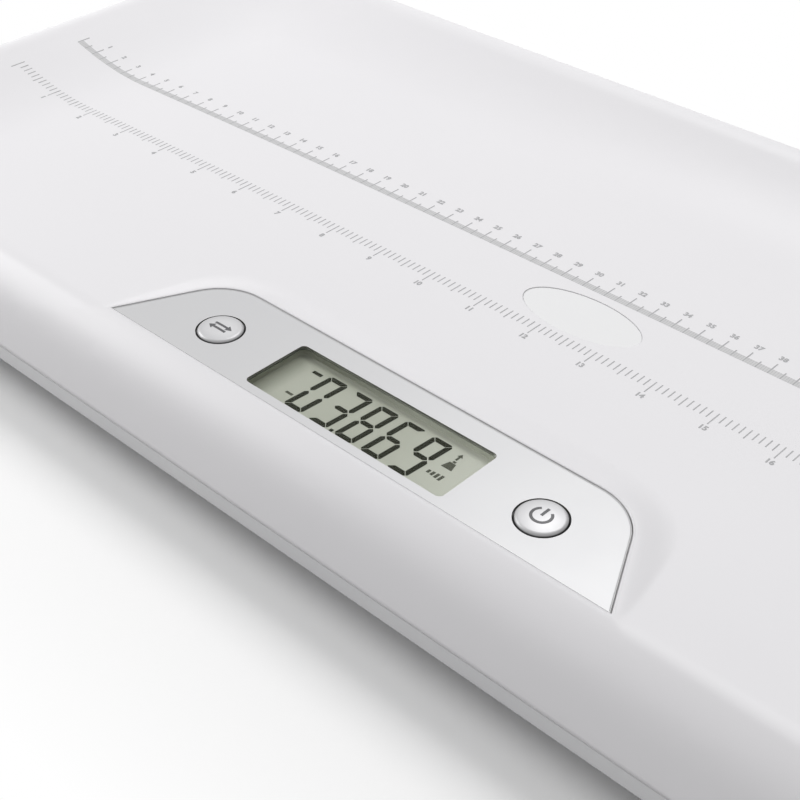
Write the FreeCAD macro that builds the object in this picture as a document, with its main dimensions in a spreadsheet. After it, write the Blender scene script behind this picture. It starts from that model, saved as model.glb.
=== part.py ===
import FreeCAD, Part
import math
import os
import Sketcher

# Digital baby weighing scale: a shallow dished tray on a flat base, carried by
# four load cells on rubber feet, with a button and display panel on its front rim.
# Millimetres. X runs along the tray, -Y is the display side, +Z is up, and the
# origin is on the floor below the middle of the tray.

os.makedirs("parts", exist_ok=True)
doc = FreeCAD.newDocument("baby_scale")
Vector = FreeCAD.Vector

DRIVING_SIZES = [
    # the tray
    ("tray_length", 670),
    ("tray_depth", 297),
    ("corner_radius", 70),
    ("tray_wall", 2.5),
    ("deck_height", 45),
    ("seam_height", "=base_height + 10"),
    ("front_crest_height", "=deck_height + 2.9"),
    ("rear_crest_height", "=deck_height + 17"),
    ("end_crest_height", "=deck_height + 13.6"),
    ("front_rise_run", 46),
    ("rear_rise_run", 55),
    ("end_rise_run", 60),
    ("lip_run", 30),
    ("crest_inset", 21.5),
    ("crest_rounding", 12),
    ("rib_wall", 1.6),
    ("rib_foot_height", "=deck_height - 8"),
    # the raised housing that carries the control panel
    ("panel_height", "=deck_height + 3"),
    ("panel_thickness", 1.2),
    ("housing_wall", 3.4),
    ("panel_front_y", "=22.9 - tray_depth / 2"),
    ("panel_back_y", "=panel_front_y + window_depth + 12.8"),
    ("panel_front_half", "=button_x + 38.7"),
    ("panel_back_half", "=button_x + 19"),
    ("panel_corner", 22),
    ("panel_gap", 0.5),
    ("panel_front_gap", 0.1),
    ("panel_border", 1),
    ("housing_flank", 14),
    ("housing_sink", 0.01),
    ("housing_draft", 7),
    # the display
    ("window_length", 88.8),
    ("window_depth", 28),
    ("window_corner", 2),
    ("display_y", "=panel_front_y + window_depth / 2 + 3.5"),
    ("lens_flange", 0.8),
    ("lens_recess", 0.3),
    ("lens_overlap", 3),
    ("lens_gap", 0.1),
    ("gasket_thickness", 0.6),
    ("gasket_overlap", 3.2),
    ("gasket_wall", 0.9),
    ("cell_length", "=window_length + 8.2"),
    ("cell_depth", "=window_depth + 8.7"),
    ("cell_thickness", 2.8),
    ("cell_contact_edge", 3),
    ("holder_wall", 1.8),
    ("holder_lip_height", 2.2),
    ("holder_ledge", 3),
    ("strip_width", 2.6),
    ("slip", 0.2),
    # the buttons and their switches
    ("button_x", "=window_length / 2 + 28.2"),
    ("button_y", "=display_y + 0.2"),
    ("button_hole", "=button_radius + 0.5"),
    ("button_radius", 8.5),
    ("button_dome", 0.6),
    ("button_proud", 0.6),
    ("button_edge", 1.6),
    ("flange_radius", "=button_hole + 1.45"),
    ("flange_thickness", 1.2),
    ("flange_gap", 0.3),
    ("stem_radius", 2.4),
    ("switch_size", 6),
    ("switch_height", 3.5),
    ("plunger_radius", 1.7),
    ("plunger_proud", 1),
    ("plunger_depth", 2.4),
    ("plunger_room", 0.7),
    ("running_gap", 0.08),
    # the circuit board
    ("board_length", "=2 * button_x + 44.8"),
    ("board_depth", "=window_depth + 16"),
    ("board_y", "=display_y - 0.9"),
    ("board_top", "=panel_height - 12"),
    ("board_thickness", 1.6),
    ("board_screw_x", "=button_x + 15.4"),
    ("board_screw_y", "=board_depth / 2 - 5"),
    ("board_post", 3.2),
    ("socket_length", 10),
    ("socket_width", 14),
    ("socket_height", 5),
    ("socket_x", "=button_x + 12.4"),
    ("socket_y", "=board_y + 6"),
    # the badge plate
    ("badge_x", 12.5),
    ("badge_y", -10),
    ("badge_long_radius", 25.4),
    ("badge_short_radius", 12.1),
    ("badge_thickness", 0.8),
    ("badge_edge", 0.2),
    ("badge_glue", 0.05),
    ("badge_gap", 0.15),
    ("badge_sunk", 0.25),
    # the base
    ("base_height", 12),
    ("base_floor", 2),
    ("base_wall", 2.2),
    ("base_edge", 4.5),
    ("base_upper_edge", 0.6),
    ("seam_gap", 0.4),
    ("seam_step", 0.1),
    ("shoulder_height", 2.4),
    ("tongue_gap", 0.5),
    ("tongue_wall", 1.6),
    ("tongue_height", 3),
    ("post_joint_height", "=seam_height + 2"),
    ("post_radius", 4.5),
    ("boss_radius", 5.5),
    ("end_screw_x", "=tray_length / 2 - 35"),
    ("side_screw_x", "=tray_length / 2 - 145"),
    ("side_screw_y", "=tray_depth / 2 - 28.5"),
    # the load cells and feet
    ("foot_x", "=tray_length / 2 - 70"),
    ("foot_y", "=tray_depth / 2 - 53.5"),
    ("pad_radius", 17),
    ("pad_thickness", 2),
    ("foot_radius", 20),
    ("foot_thickness", "=base_height - pad_thickness - 2"),
    ("neck_radius", 14),
    ("neck_top", "=base_height + 5"),
    ("boss_tip_radius", 5),
    ("neck_gap", 1),
    ("seat_size", 52),
    ("seat_thickness", 2),
    ("frame_size", 48),
    ("frame_height", 7),
    ("frame_screw", 20.5),
    ("cell_pocket_depth", 3),
    ("beam_size", 34),
    ("beam_thickness", 1.5),
    ("beam_tongue", 12),
    ("beam_slot", 4),
    ("beam_edge", 5),
    ("gauge_length", 5),
    ("gauge_width", 8),
    ("gauge_height", 2.2),
    ("gauge_offset", 6.5),
    # batteries, their well and door
    ("well_y", 40),
    ("battery_radius", 5.25),
    ("battery_length", 44.5),
    ("battery_nub_radius", 1.9),
    ("battery_nub", 0.8),
    ("battery_pitch", "=2 * battery_radius + 0.7"),
    ("battery_side_room", 1.2),
    ("battery_floor_gap", 0.3),
    ("spring_length", 5),
    ("spring_radius", 2.8),
    ("spring_wire", 0.4),
    ("terminal_thickness", 0.5),
    ("terminal_width", 7),
    ("terminal_height", 8),
    ("well_wall", 1.5),
    ("door_gap", 0.3),
    ("latch_room", 8),
    ("tab_width", 2.2),
    ("tab_thickness", 1.1),
    ("tab_reach", 2.6),
    ("latch_wall", 1.2),
    ("latch_width", 12),
    ("latch_height", 5),
    ("latch_gap", 1.1),
    # screws and leads
    ("base_screw_radius", 1.5),
    ("base_screw_head", 3.1),
    ("base_screw_length", 21),
    ("head_height", 2),
    ("small_screw_radius", 1.1),
    ("small_screw_head", 2.2),
    ("small_head_height", 1.4),
    ("board_screw_length", 6.5),
    ("frame_screw_length", 10),
    ("hole_gap", 0.2),
    ("thread_gap", 0.02),
    ("cross_width", 0.6),
    ("cell_lead_radius", 1),
    ("battery_lead_radius", 0.8),
    ("clip_length", 5),
    ("clip_width", 5),
    ("clip_height", 3.4),
]

# every alias is set before any cell, because a size may follow from one further down
sheet = doc.addObject("Spreadsheet::Sheet", "sizes")
for row, (alias, value) in enumerate(DRIVING_SIZES, 1):
    sheet.set(f"A{row}", alias)
    sheet.setAlias(f"B{row}", alias)
for row, (alias, value) in enumerate(DRIVING_SIZES, 1):
    sheet.set(f"B{row}", str(value))
doc.recompute()


class Size:
    """A number together with the spreadsheet expression that gives it."""

    def __init__(self, value, text):
        self.value = value
        self.text = text

    def __add__(self, other):
        other = as_size(other)
        return Size(self.value + other.value, f"({self.text} + {other.text})")

    def __sub__(self, other):
        other = as_size(other)
        return Size(self.value - other.value, f"({self.text} - {other.text})")

    def __mul__(self, other):
        other = as_size(other)
        return Size(self.value * other.value, f"({self.text} * {other.text})")

    def __truediv__(self, other):
        other = as_size(other)
        return Size(self.value / other.value, f"({self.text} / {other.text})")

    def __radd__(self, other):
        return as_size(other) + self

    def __rsub__(self, other):
        return as_size(other) - self

    def __rmul__(self, other):
        return as_size(other) * self

    def __neg__(self):
        return as_size(0) - self


def as_size(value):
    if isinstance(value, Size):
        return value
    return Size(float(value), f"({float(value)})")


class Sizes:
    """Reads the cells of the sheet by alias."""

    def __getattr__(self, alias):
        return Size(float(sheet.get(alias)), "sizes." + alias)


dim = Sizes()


# ---------------------------------------------------------------- helpers

def bind(obj, **properties):
    for name, size in properties.items():
        obj.setExpression(name, as_size(size).text)


def place(obj, x, y, z):
    for axis, size in zip("xyz", (x, y, z)):
        obj.setExpression(f"Placement.Base.{axis}", as_size(size).text)


def box(name, length, width, height, x, y, z):
    """A block centred on x and y that stands on z."""
    obj = doc.addObject("Part::Box", name)
    bind(obj, Length=length, Width=width, Height=height)
    place(obj, x - as_size(length) / 2, y - as_size(width) / 2, z)
    return obj


def cylinder(name, radius, height, x, y, z, direction=Vector(0, 0, 1)):
    """A cylinder whose foot is at x, y, z and that points along direction."""
    obj = doc.addObject("Part::Cylinder", name)
    obj.Placement = FreeCAD.Placement(Vector(), FreeCAD.Rotation(Vector(0, 0, 1), direction))
    bind(obj, Radius=radius, Height=height)
    place(obj, x, y, z)
    return obj


def cut(name, base, *tools):
    obj = doc.addObject("Part::Cut", name)
    obj.Base = base
    obj.Tool = tools[0] if len(tools) == 1 else join(name + "_tools", *tools)
    return obj


def join(name, *pieces):
    obj = doc.addObject("Part::MultiFuse", name)
    obj.Shapes = list(pieces)
    return obj


def group(name, pieces):
    obj = doc.addObject("Part::Compound", name)
    obj.Links = list(pieces)
    return obj


def solid_feature(name, shape):
    obj = doc.addObject("Part::Feature", name)
    obj.Shape = shape
    return obj


def new_body(name):
    return doc.addObject("PartDesign::Body", name)


def new_sketch(body, name, height):
    """A sketch parallel to the body's XY plane, at the given height."""
    sketch = body.newObject("Sketcher::SketchObject", name)
    plane = next(p for p in body.Origin.OriginFeatures if p.Role == "XY_Plane")
    sketch.AttachmentSupport = (plane, [""])
    sketch.MapMode = "FlatFace"
    sketch.setExpression("AttachmentOffset.Base.z", as_size(height).text)
    return sketch


def fix(sketch, kind, *where, size):
    """Adds a dimension to a sketch and ties it to the sheet."""
    index = sketch.addConstraint(Sketcher.Constraint(kind, *where, size.value))
    sketch.renameConstraint(index, f"size_{index}")
    sketch.setExpression(f"Constraints.size_{index}", size.text)


def fix_point(sketch, geometry, point, x, y):
    fix(sketch, "DistanceX", -1, 1, geometry, point, size=as_size(x))
    fix(sketch, "DistanceY", -1, 1, geometry, point, size=as_size(y))


def draw_polygon(sketch, corners):
    corners = [(as_size(x), as_size(y)) for x, y in corners]
    ends = [Vector(x.value, y.value, 0) for x, y in corners]
    count = len(ends)
    lines = [sketch.addGeometry(Part.LineSegment(ends[i], ends[(i + 1) % count])) for i in range(count)]
    for i, line in enumerate(lines):
        sketch.addConstraint(Sketcher.Constraint("Coincident", line, 2, lines[(i + 1) % count], 1))
        fix_point(sketch, line, 1, *corners[i])


def draw_rectangle(sketch, length, width, x, y):
    half_length = as_size(length) / 2
    half_width = as_size(width) / 2
    signs = [(-1, -1), (1, -1), (1, 1), (-1, 1)]
    draw_polygon(sketch, [(x + half_length * sx, y + half_width * sy) for sx, sy in signs])


def draw_circle(sketch, radius, x, y):
    radius, x, y = as_size(radius), as_size(x), as_size(y)
    circle = sketch.addGeometry(Part.Circle(Vector(x.value, y.value, 0), Vector(0, 0, 1), radius.value))
    fix_point(sketch, circle, 3, x, y)
    fix(sketch, "Radius", circle, size=radius)


def draw_rounded_rectangle(sketch, length, width, radius, x=0, y=0):
    """Four corner arcs with fixed centres, joined by tangent lines."""
    radius = as_size(radius)
    half_length = as_size(length) / 2 - radius
    half_width = as_size(width) / 2 - radius
    arcs = []
    for turn, (sx, sy) in enumerate([(1, 1), (-1, 1), (-1, -1), (1, -1)]):
        centre_x = x + half_length * sx
        centre_y = y + half_width * sy
        circle = Part.Circle(Vector(centre_x.value, centre_y.value, 0), Vector(0, 0, 1), radius.value)
        start = math.radians(90 * turn)
        arc = sketch.addGeometry(Part.ArcOfCircle(circle, start, start + math.pi / 2))
        fix_point(sketch, arc, 3, centre_x, centre_y)
        fix(sketch, "Radius", arc, size=radius)
        arcs.append(arc)
    for turn, arc in enumerate(arcs):
        follower = arcs[(turn + 1) % 4]
        start = sketch.Geometry[arc].EndPoint
        end = sketch.Geometry[follower].StartPoint
        line = sketch.addGeometry(Part.LineSegment(start, end))
        sketch.addConstraint(Sketcher.Constraint("Tangent", arc, 2, line, 1))
        sketch.addConstraint(Sketcher.Constraint("Tangent", line, 2, follower, 1))


def pad(body, name, sketch, length):
    feature = body.newObject("PartDesign::Pad", name)
    feature.Profile = sketch
    bind(feature, Length=length)
    doc.recompute()
    return feature


def pocket(body, name, sketch, length, upward=False):
    feature = body.newObject("PartDesign::Pocket", name)
    feature.Profile = sketch
    feature.Reversed = upward
    bind(feature, Length=length)
    volume = body.Shape.Volume
    doc.recompute()
    if not body.Shape.Volume < volume:
        raise RuntimeError(name + " removes nothing")
    return feature


def fillet(body, name, base, radius, wanted):
    """Rounds the edges of base that the function wanted picks."""
    edges = [f"Edge{i}" for i, edge in enumerate(base.Shape.Edges, 1) if wanted(edge)]
    feature = body.newObject("PartDesign::Fillet", name)
    feature.Base = (base, edges)
    bind(feature, Radius=radius)
    doc.recompute()
    return feature


def upright(edge):
    low, high = edge.Vertexes[0].Point, edge.Vertexes[-1].Point
    return abs(low.x - high.x) + abs(low.y - high.y) < 1e-6 and abs(low.z - high.z) > 1e-6


QUARTERS = {
    "front_left": (-1, -1),
    "front_right": (1, -1),
    "rear_left": (-1, 1),
    "rear_right": (1, 1),
}
BUTTON_SIDES = {"unit": -1, "power": 1}

housing_roof = dim.panel_height - dim.housing_wall
panel_seat = dim.panel_height - dim.panel_thickness
badge_seat = dim.deck_height - dim.badge_sunk - dim.badge_thickness - dim.badge_glue
floor_top = dim.base_height + dim.base_floor
seat_top = floor_top + dim.seat_thickness
beam_bottom = seat_top + dim.frame_height - dim.cell_pocket_depth
beam_top = beam_bottom + dim.beam_thickness
board_bottom = dim.board_top - dim.board_thickness
base_screw_places = [
    (-dim.end_screw_x, as_size(0)),
    (dim.end_screw_x, as_size(0)),
    (-dim.side_screw_x, -dim.side_screw_y),
    (dim.side_screw_x, -dim.side_screw_y),
    (-dim.side_screw_x, dim.side_screw_y),
    (dim.side_screw_x, dim.side_screw_y),
    (as_size(0), dim.side_screw_y),
]
board_screw_places = [
    (dim.board_screw_x * sx, dim.board_y + dim.board_screw_y * sy) for sx in (-1, 1) for sy in (-1, 1)
]
frame_screw_places = [
    (dim.foot_x * sx + dim.frame_screw * side, dim.foot_y * sy + dim.frame_screw * side * sx * sy)
    for sx, sy in QUARTERS.values()
    for side in (-1, 1)
]


# ---------------------------------------------------------------- tray shell
# One moulding: a flat deck that rises softly to a rim, a lip that rolls over the
# rim and down to the seam, and a flat raised housing for the control panel.

def deck_surface_height(x, y):
    """The tray's upper surface: flat in the middle, parabolic towards each rim."""
    end_crest = dim.tray_length.value / 2 - dim.crest_inset.value
    side_crest = dim.tray_depth.value / 2 - dim.crest_inset.value
    if y < 0:
        side_rise, side_run = dim.front_crest_height.value, dim.front_rise_run.value
    else:
        side_rise, side_run = dim.rear_crest_height.value, dim.rear_rise_run.value
    deck = dim.deck_height.value
    along = max(0, abs(x) - (end_crest - dim.end_rise_run.value)) / dim.end_rise_run.value
    across = max(0, abs(y) - (side_crest - side_run)) / side_run
    rise_x = (dim.end_crest_height.value - deck) * along ** 2
    rise_y = (side_rise - deck) * across ** 2
    return deck + math.hypot(rise_x, rise_y)


def outline_stations():
    """Points of the outer outline, each with its outward normal, from the rear middle."""
    spacing = 20
    corner_steps = 6
    radius = dim.corner_radius.value
    a = dim.tray_length.value / 2 - radius
    b = dim.tray_depth.value / 2 - radius
    stations = []

    def side(start, end, normal):
        steps = max(2, round(math.dist(start, end) / spacing))
        for i in range(steps):
            t = i / steps
            x = start[0] + (end[0] - start[0]) * t
            y = start[1] + (end[1] - start[1]) * t
            stations.append((x, y, *normal))

    def corner(centre, first_angle):
        for i in range(corner_steps):
            angle = math.radians(first_angle + 90 * i / corner_steps)
            nx, ny = math.cos(angle), math.sin(angle)
            stations.append((centre[0] + radius * nx, centre[1] + radius * ny, nx, ny))

    side((0, b + radius), (-a, b + radius), (0, 1))
    corner((-a, b), 90)
    side((-a - radius, b), (-a - radius, -b), (-1, 0))
    corner((-a, -b), 180)
    side((-a, -b - radius), (a, -b - radius), (0, -1))
    corner((a, -b), 270)
    side((a + radius, -b), (a + radius, b), (1, 0))
    corner((a, b), 0)
    side((a, b + radius), (0, b + radius), (0, 1))
    return stations


def ring(stations, inset, height_from_crest):
    """A closed curve at an inset from the outline; its height follows the crest's."""
    crest_inset = dim.crest_inset.value
    points = []
    for x, y, nx, ny in stations:
        crest = deck_surface_height(x - crest_inset * nx, y - crest_inset * ny)
        points.append(Vector(x - inset * nx, y - inset * ny, height_from_crest(crest)))
    curve = Part.BSplineCurve()
    curve.interpolate(Points=points, PeriodicFlag=True)
    return Part.Wire([curve.toShape()])


def lip_solid(wall):
    """Everything inside the rolled lip, offset inwards by wall and open upwards.

    The lip's section is part of an ellipse that stands upright at the seam. Past
    the crest it runs on along its tangent, high above the deck.
    """
    run = dim.lip_run.value
    seam = dim.seam_height.value
    cosine = (run - dim.crest_inset.value) / run
    sine = math.sqrt(1 - cosine ** 2)
    overlap_below_seam = 6
    tangent_steps = (6, 12, 18)
    sky = 2 * dim.end_crest_height.value
    stations = outline_stations()
    rings = []

    def axis_height(crest):
        return (crest - seam) / sine - wall

    if wall:
        rings.append(ring(stations, wall, lambda crest: seam - overlap_below_seam))
    crest_angle = math.asin(sine)
    for share in (0, 0.15, 0.3, 0.45, 0.6, 0.75, 0.88, 1):
        angle = crest_angle * share
        inset = run - (run - wall) * math.cos(angle)
        rings.append(ring(stations, inset, lambda crest, a=angle: seam + axis_height(crest) * math.sin(a)))
    slope = cosine / sine / (run - wall)
    crest_ring_inset = run - (run - wall) * cosine
    for step in tangent_steps:
        rings.append(ring(
            stations,
            crest_ring_inset + step,
            lambda crest, d=step: seam + axis_height(crest) * (sine + slope * d),
        ))
    top = ring(stations, crest_ring_inset + tangent_steps[-1], lambda crest: sky)
    lip = Part.makeLoft(rings, False, False)
    collar = Part.makeLoft([rings[-1], top], False, True)
    shell = Part.makeShell(lip.Faces + collar.Faces + [Part.Face(rings[0]), Part.Face(top)])
    shell.sewShape()
    solid = Part.Solid(shell)
    if solid.Volume < 0:
        solid.reverse()
    return solid


def under_deck_solid(drop):
    """Everything below the tray's upper surface, lowered by drop."""
    grid_steps = (50, 26)
    overhang = 25
    half_x = dim.tray_length.value / 2 + overhang
    half_y = dim.tray_depth.value / 2 + overhang
    points = []
    for i in range(grid_steps[0] + 1):
        x = half_x * (2 * i / grid_steps[0] - 1)
        row = []
        for j in range(grid_steps[1] + 1):
            y = half_y * (2 * j / grid_steps[1] - 1)
            row.append(Vector(x, y, deck_surface_height(x, y) - drop))
        points.append(row)
    surface = Part.BSplineSurface()
    surface.interpolate(points)
    return surface.toShape().extrude(Vector(0, 0, -2 * dim.deck_height.value))


def round_crest(body, radius):
    """Rounds the ridge where the rising deck meets the lip."""
    ridge = [e for e in body.Edges if e.BoundBox.ZMin > dim.seam_height.value and e.Length > 10 * radius]
    return body.makeFillet(radius, ridge)


def panel_outline(grow, height, front_y):
    """The control panel's outline, a trapezoid with round back corners, grown outwards."""
    front_half, back_half = dim.panel_front_half.value, dim.panel_back_half.value
    depth = dim.panel_back_y.value - dim.panel_front_y.value
    lean = (front_half - back_half) / depth
    radius = dim.panel_corner.value + grow
    side_shift = grow * math.hypot(1, lean)
    back_y = dim.panel_back_y.value + grow

    def side_x(y):
        return front_half - (y - dim.panel_front_y.value) * lean + side_shift

    front = Vector(side_x(front_y), front_y, height)
    back = Vector(side_x(back_y), back_y, height)
    to_front = (front - back).normalize()
    to_middle = Vector(-1, 0, 0)
    half_angle = to_front.getAngle(to_middle) / 2
    tangent_length = radius / math.tan(half_angle)
    bisector = (to_front + to_middle).normalize()
    arc_start = back + to_front * tangent_length
    arc_end = back + to_middle * tangent_length
    arc_middle = back + bisector * (radius / math.sin(half_angle) - radius)

    def mirrored(point):
        return Vector(-point.x, point.y, point.z)

    edges = [
        Part.LineSegment(mirrored(front), front),
        Part.LineSegment(front, arc_start),
        Part.Arc(arc_start, arc_middle, arc_end),
        Part.LineSegment(arc_end, mirrored(arc_end)),
        Part.Arc(mirrored(arc_end), mirrored(arc_middle), mirrored(arc_start)),
        Part.LineSegment(mirrored(arc_start), mirrored(front)),
    ]
    return Part.Wire([edge.toShape() for edge in edges])


def block(length, width, low, high, x, y):
    return Part.makeBox(length, width, high - low, Vector(x - length / 2, y - width / 2, low))


def rod(radius, low, high, x, y):
    return Part.makeCylinder(radius, high - low, Vector(x, y, low))


def rounded_block(length, width, low, high, x, y, radius):
    shape = block(length, width, low, high, x, y)
    return shape.makeFillet(radius, [edge for edge in shape.Edges if upright(edge)])


def build_tray_shell():
    wall = dim.tray_wall.value
    panel_top = dim.panel_height.value
    roof = housing_roof.value
    seat = panel_seat.value
    draft = dim.housing_draft.value
    front_reach = dim.panel_front_y.value - dim.crest_inset.value
    border = dim.panel_border.value
    sky = 2 * dim.end_crest_height.value

    # the outer body and the housing, whose flank eases down to the deck
    lip = lip_solid(0)
    body = round_crest(lip.common(under_deck_solid(0)), dim.crest_rounding.value)
    flank = dim.housing_flank.value
    drop = panel_top - dim.deck_height.value + dim.housing_sink.value
    flank_steps = 8
    steep_near_panel = 0.8
    sections = []
    for share in (step / flank_steps for step in range(flank_steps + 1)):
        down = drop * (1 - math.cos(math.pi * share ** steep_near_panel)) / 2
        sections.append(panel_outline(border + flank * share, panel_top - down, front_reach))
    housing = Part.makeLoft(sections, True, False)
    body = body.fuse(housing.common(lip))

    # the hollow, less the posts and ribs that hang from the deck
    hollow_housing = Part.makeLoft([
        panel_outline(border - wall, roof, front_reach),
        panel_outline(border - wall + draft, roof - draft, front_reach),
    ], True, True)
    inner_lip = lip_solid(wall)
    hollow = round_crest(inner_lip.common(under_deck_solid(wall)), dim.crest_rounding.value - wall)
    hollow = hollow.fuse(hollow_housing.common(inner_lip))
    kept = []
    for x, y in base_screw_places:
        kept.append(rod(dim.post_radius.value, dim.post_joint_height.value, sky, x.value, y.value))
    for x, y in board_screw_places:
        kept.append(rod(dim.board_post.value, dim.board_top.value, sky, x.value, y.value))
    rib = dim.rib_wall.value
    rib_low = dim.rib_foot_height.value
    rib_reach_x = dim.foot_x.value
    rib_front = dim.panel_back_y.value + draft + 2 * wall
    rib_back = dim.foot_y.value
    for share in (0, 0.5, 1):
        y = rib_front + (rib_back - rib_front) * share
        kept.append(block(2 * rib_reach_x, rib, rib_low, sky, 0, y))
    for share in (-0.75, -0.5, -0.25, 0.25, 0.5, 0.75):
        x = rib_reach_x * share
        kept.append(block(rib, rib_back - rib_front, rib_low, sky, x, (rib_front + rib_back) / 2))
    hollow = hollow.cut(kept)
    shell = body.cut(hollow)

    # the panel's recess, the lens ledge, the display opening and the button holes
    gap = dim.panel_gap.value
    recess_front = dim.panel_front_y.value - dim.panel_front_gap.value
    recess = Part.Face(panel_outline(gap, seat, recess_front)).extrude(Vector(0, 0, sky - seat))
    window = (dim.window_length.value, dim.window_depth.value)
    lens_extra = 2 * (dim.lens_overlap.value + dim.lens_gap.value)
    hole_extra = 2 * (dim.gasket_wall.value + dim.lens_gap.value)
    display_y = dim.display_y.value
    ledge = rounded_block(
        window[0] + lens_extra, window[1] + lens_extra, seat - dim.lens_flange.value, sky,
        0, display_y, dim.window_corner.value + dim.lens_overlap.value,
    )
    opening = rounded_block(
        window[0] + hole_extra, window[1] + hole_extra, roof - 2 * wall, sky,
        0, display_y, dim.window_corner.value + dim.gasket_wall.value,
    )
    tools = [recess, ledge, opening]
    for side in BUTTON_SIDES.values():
        x = side * dim.button_x.value
        tools.append(rod(dim.button_hole.value, roof - 2 * wall, sky, x, dim.button_y.value))

    # the badge's recess
    badge_gap = dim.badge_gap.value
    oval = Part.Ellipse(
        Vector(dim.badge_x.value, dim.badge_y.value, badge_seat.value),
        dim.badge_long_radius.value + badge_gap,
        dim.badge_short_radius.value + badge_gap,
    )
    tools.append(Part.Face(Part.Wire([oval.toShape()])).extrude(Vector(0, 0, sky - badge_seat.value)))

    # pilot holes in the posts
    pilot = dim.base_screw_radius.value + dim.thread_gap.value
    pilot_top = dim.base_height.value + dim.base_screw_length.value + 2 * dim.head_height.value
    for x, y in base_screw_places:
        tools.append(rod(pilot, dim.post_joint_height.value, pilot_top, x.value, y.value))
    pilot = dim.small_screw_radius.value + dim.thread_gap.value
    pilot_top = board_bottom.value + dim.board_screw_length.value + dim.small_head_height.value / 2
    for x, y in board_screw_places:
        tools.append(rod(pilot, dim.board_top.value, pilot_top, x.value, y.value))
    shell = shell.cut(tools)
    if len(shell.Solids) == 1:
        shell = shell.Solids[0]
    return solid_feature("tray_shell", shell)


# ---------------------------------------------------------------- badge plate
# A bare oval plate between the two rulers, set in a shallow recess in the deck
# and held by a film of glue.

def build_badge_plate():
    oval = doc.addObject("Part::Ellipse", "badge_outline")
    bind(oval, MajorRadius=dim.badge_long_radius, MinorRadius=dim.badge_short_radius)
    plate = doc.addObject("Part::Extrusion", "badge_blank")
    plate.Base = oval
    plate.DirMode = "Custom"
    plate.Dir = Vector(0, 0, 1)
    plate.Solid = True
    bind(plate, LengthFwd=dim.badge_thickness)
    doc.recompute()
    top = [i for i, e in enumerate(plate.Shape.Edges, 1) if e.BoundBox.ZMin > dim.badge_thickness.value / 2]
    badge = doc.addObject("Part::Fillet", "badge_plate")
    badge.Base = plate
    badge.Edges = [(i, dim.badge_edge.value, dim.badge_edge.value) for i in top]
    place(badge, dim.badge_x, dim.badge_y, badge_seat + dim.badge_glue)
    return badge


# ---------------------------------------------------------------- control panel
# The satin face plate, with the display window and two round button holes.

def build_control_panel():
    body = new_body("control_panel")
    sketch = new_sketch(body, "panel_outline", panel_seat)
    draw_polygon(sketch, [
        (-dim.panel_front_half, dim.panel_front_y),
        (dim.panel_front_half, dim.panel_front_y),
        (dim.panel_back_half, dim.panel_back_y),
        (-dim.panel_back_half, dim.panel_back_y),
    ])
    plate = pad(body, "panel_plate", sketch, dim.panel_thickness)

    def back_corner(edge):
        return upright(edge) and edge.BoundBox.YMin > dim.display_y.value

    fillet(body, "panel_back_corners", plate, dim.panel_corner, back_corner)
    sketch = new_sketch(body, "panel_cuts", dim.panel_height)
    draw_rounded_rectangle(sketch, dim.window_length, dim.window_depth, dim.window_corner, 0, dim.display_y)
    for side in BUTTON_SIDES.values():
        draw_circle(sketch, dim.button_hole, dim.button_x * side, dim.button_y)
    pocket(body, "panel_openings", sketch, dim.panel_thickness)
    return body


# ---------------------------------------------------------------- display stack
# From the top: a clear lens on a ledge, a foam gasket, the liquid crystal cell,
# its holder and the rubber contact strips, all on the circuit board.

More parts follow.
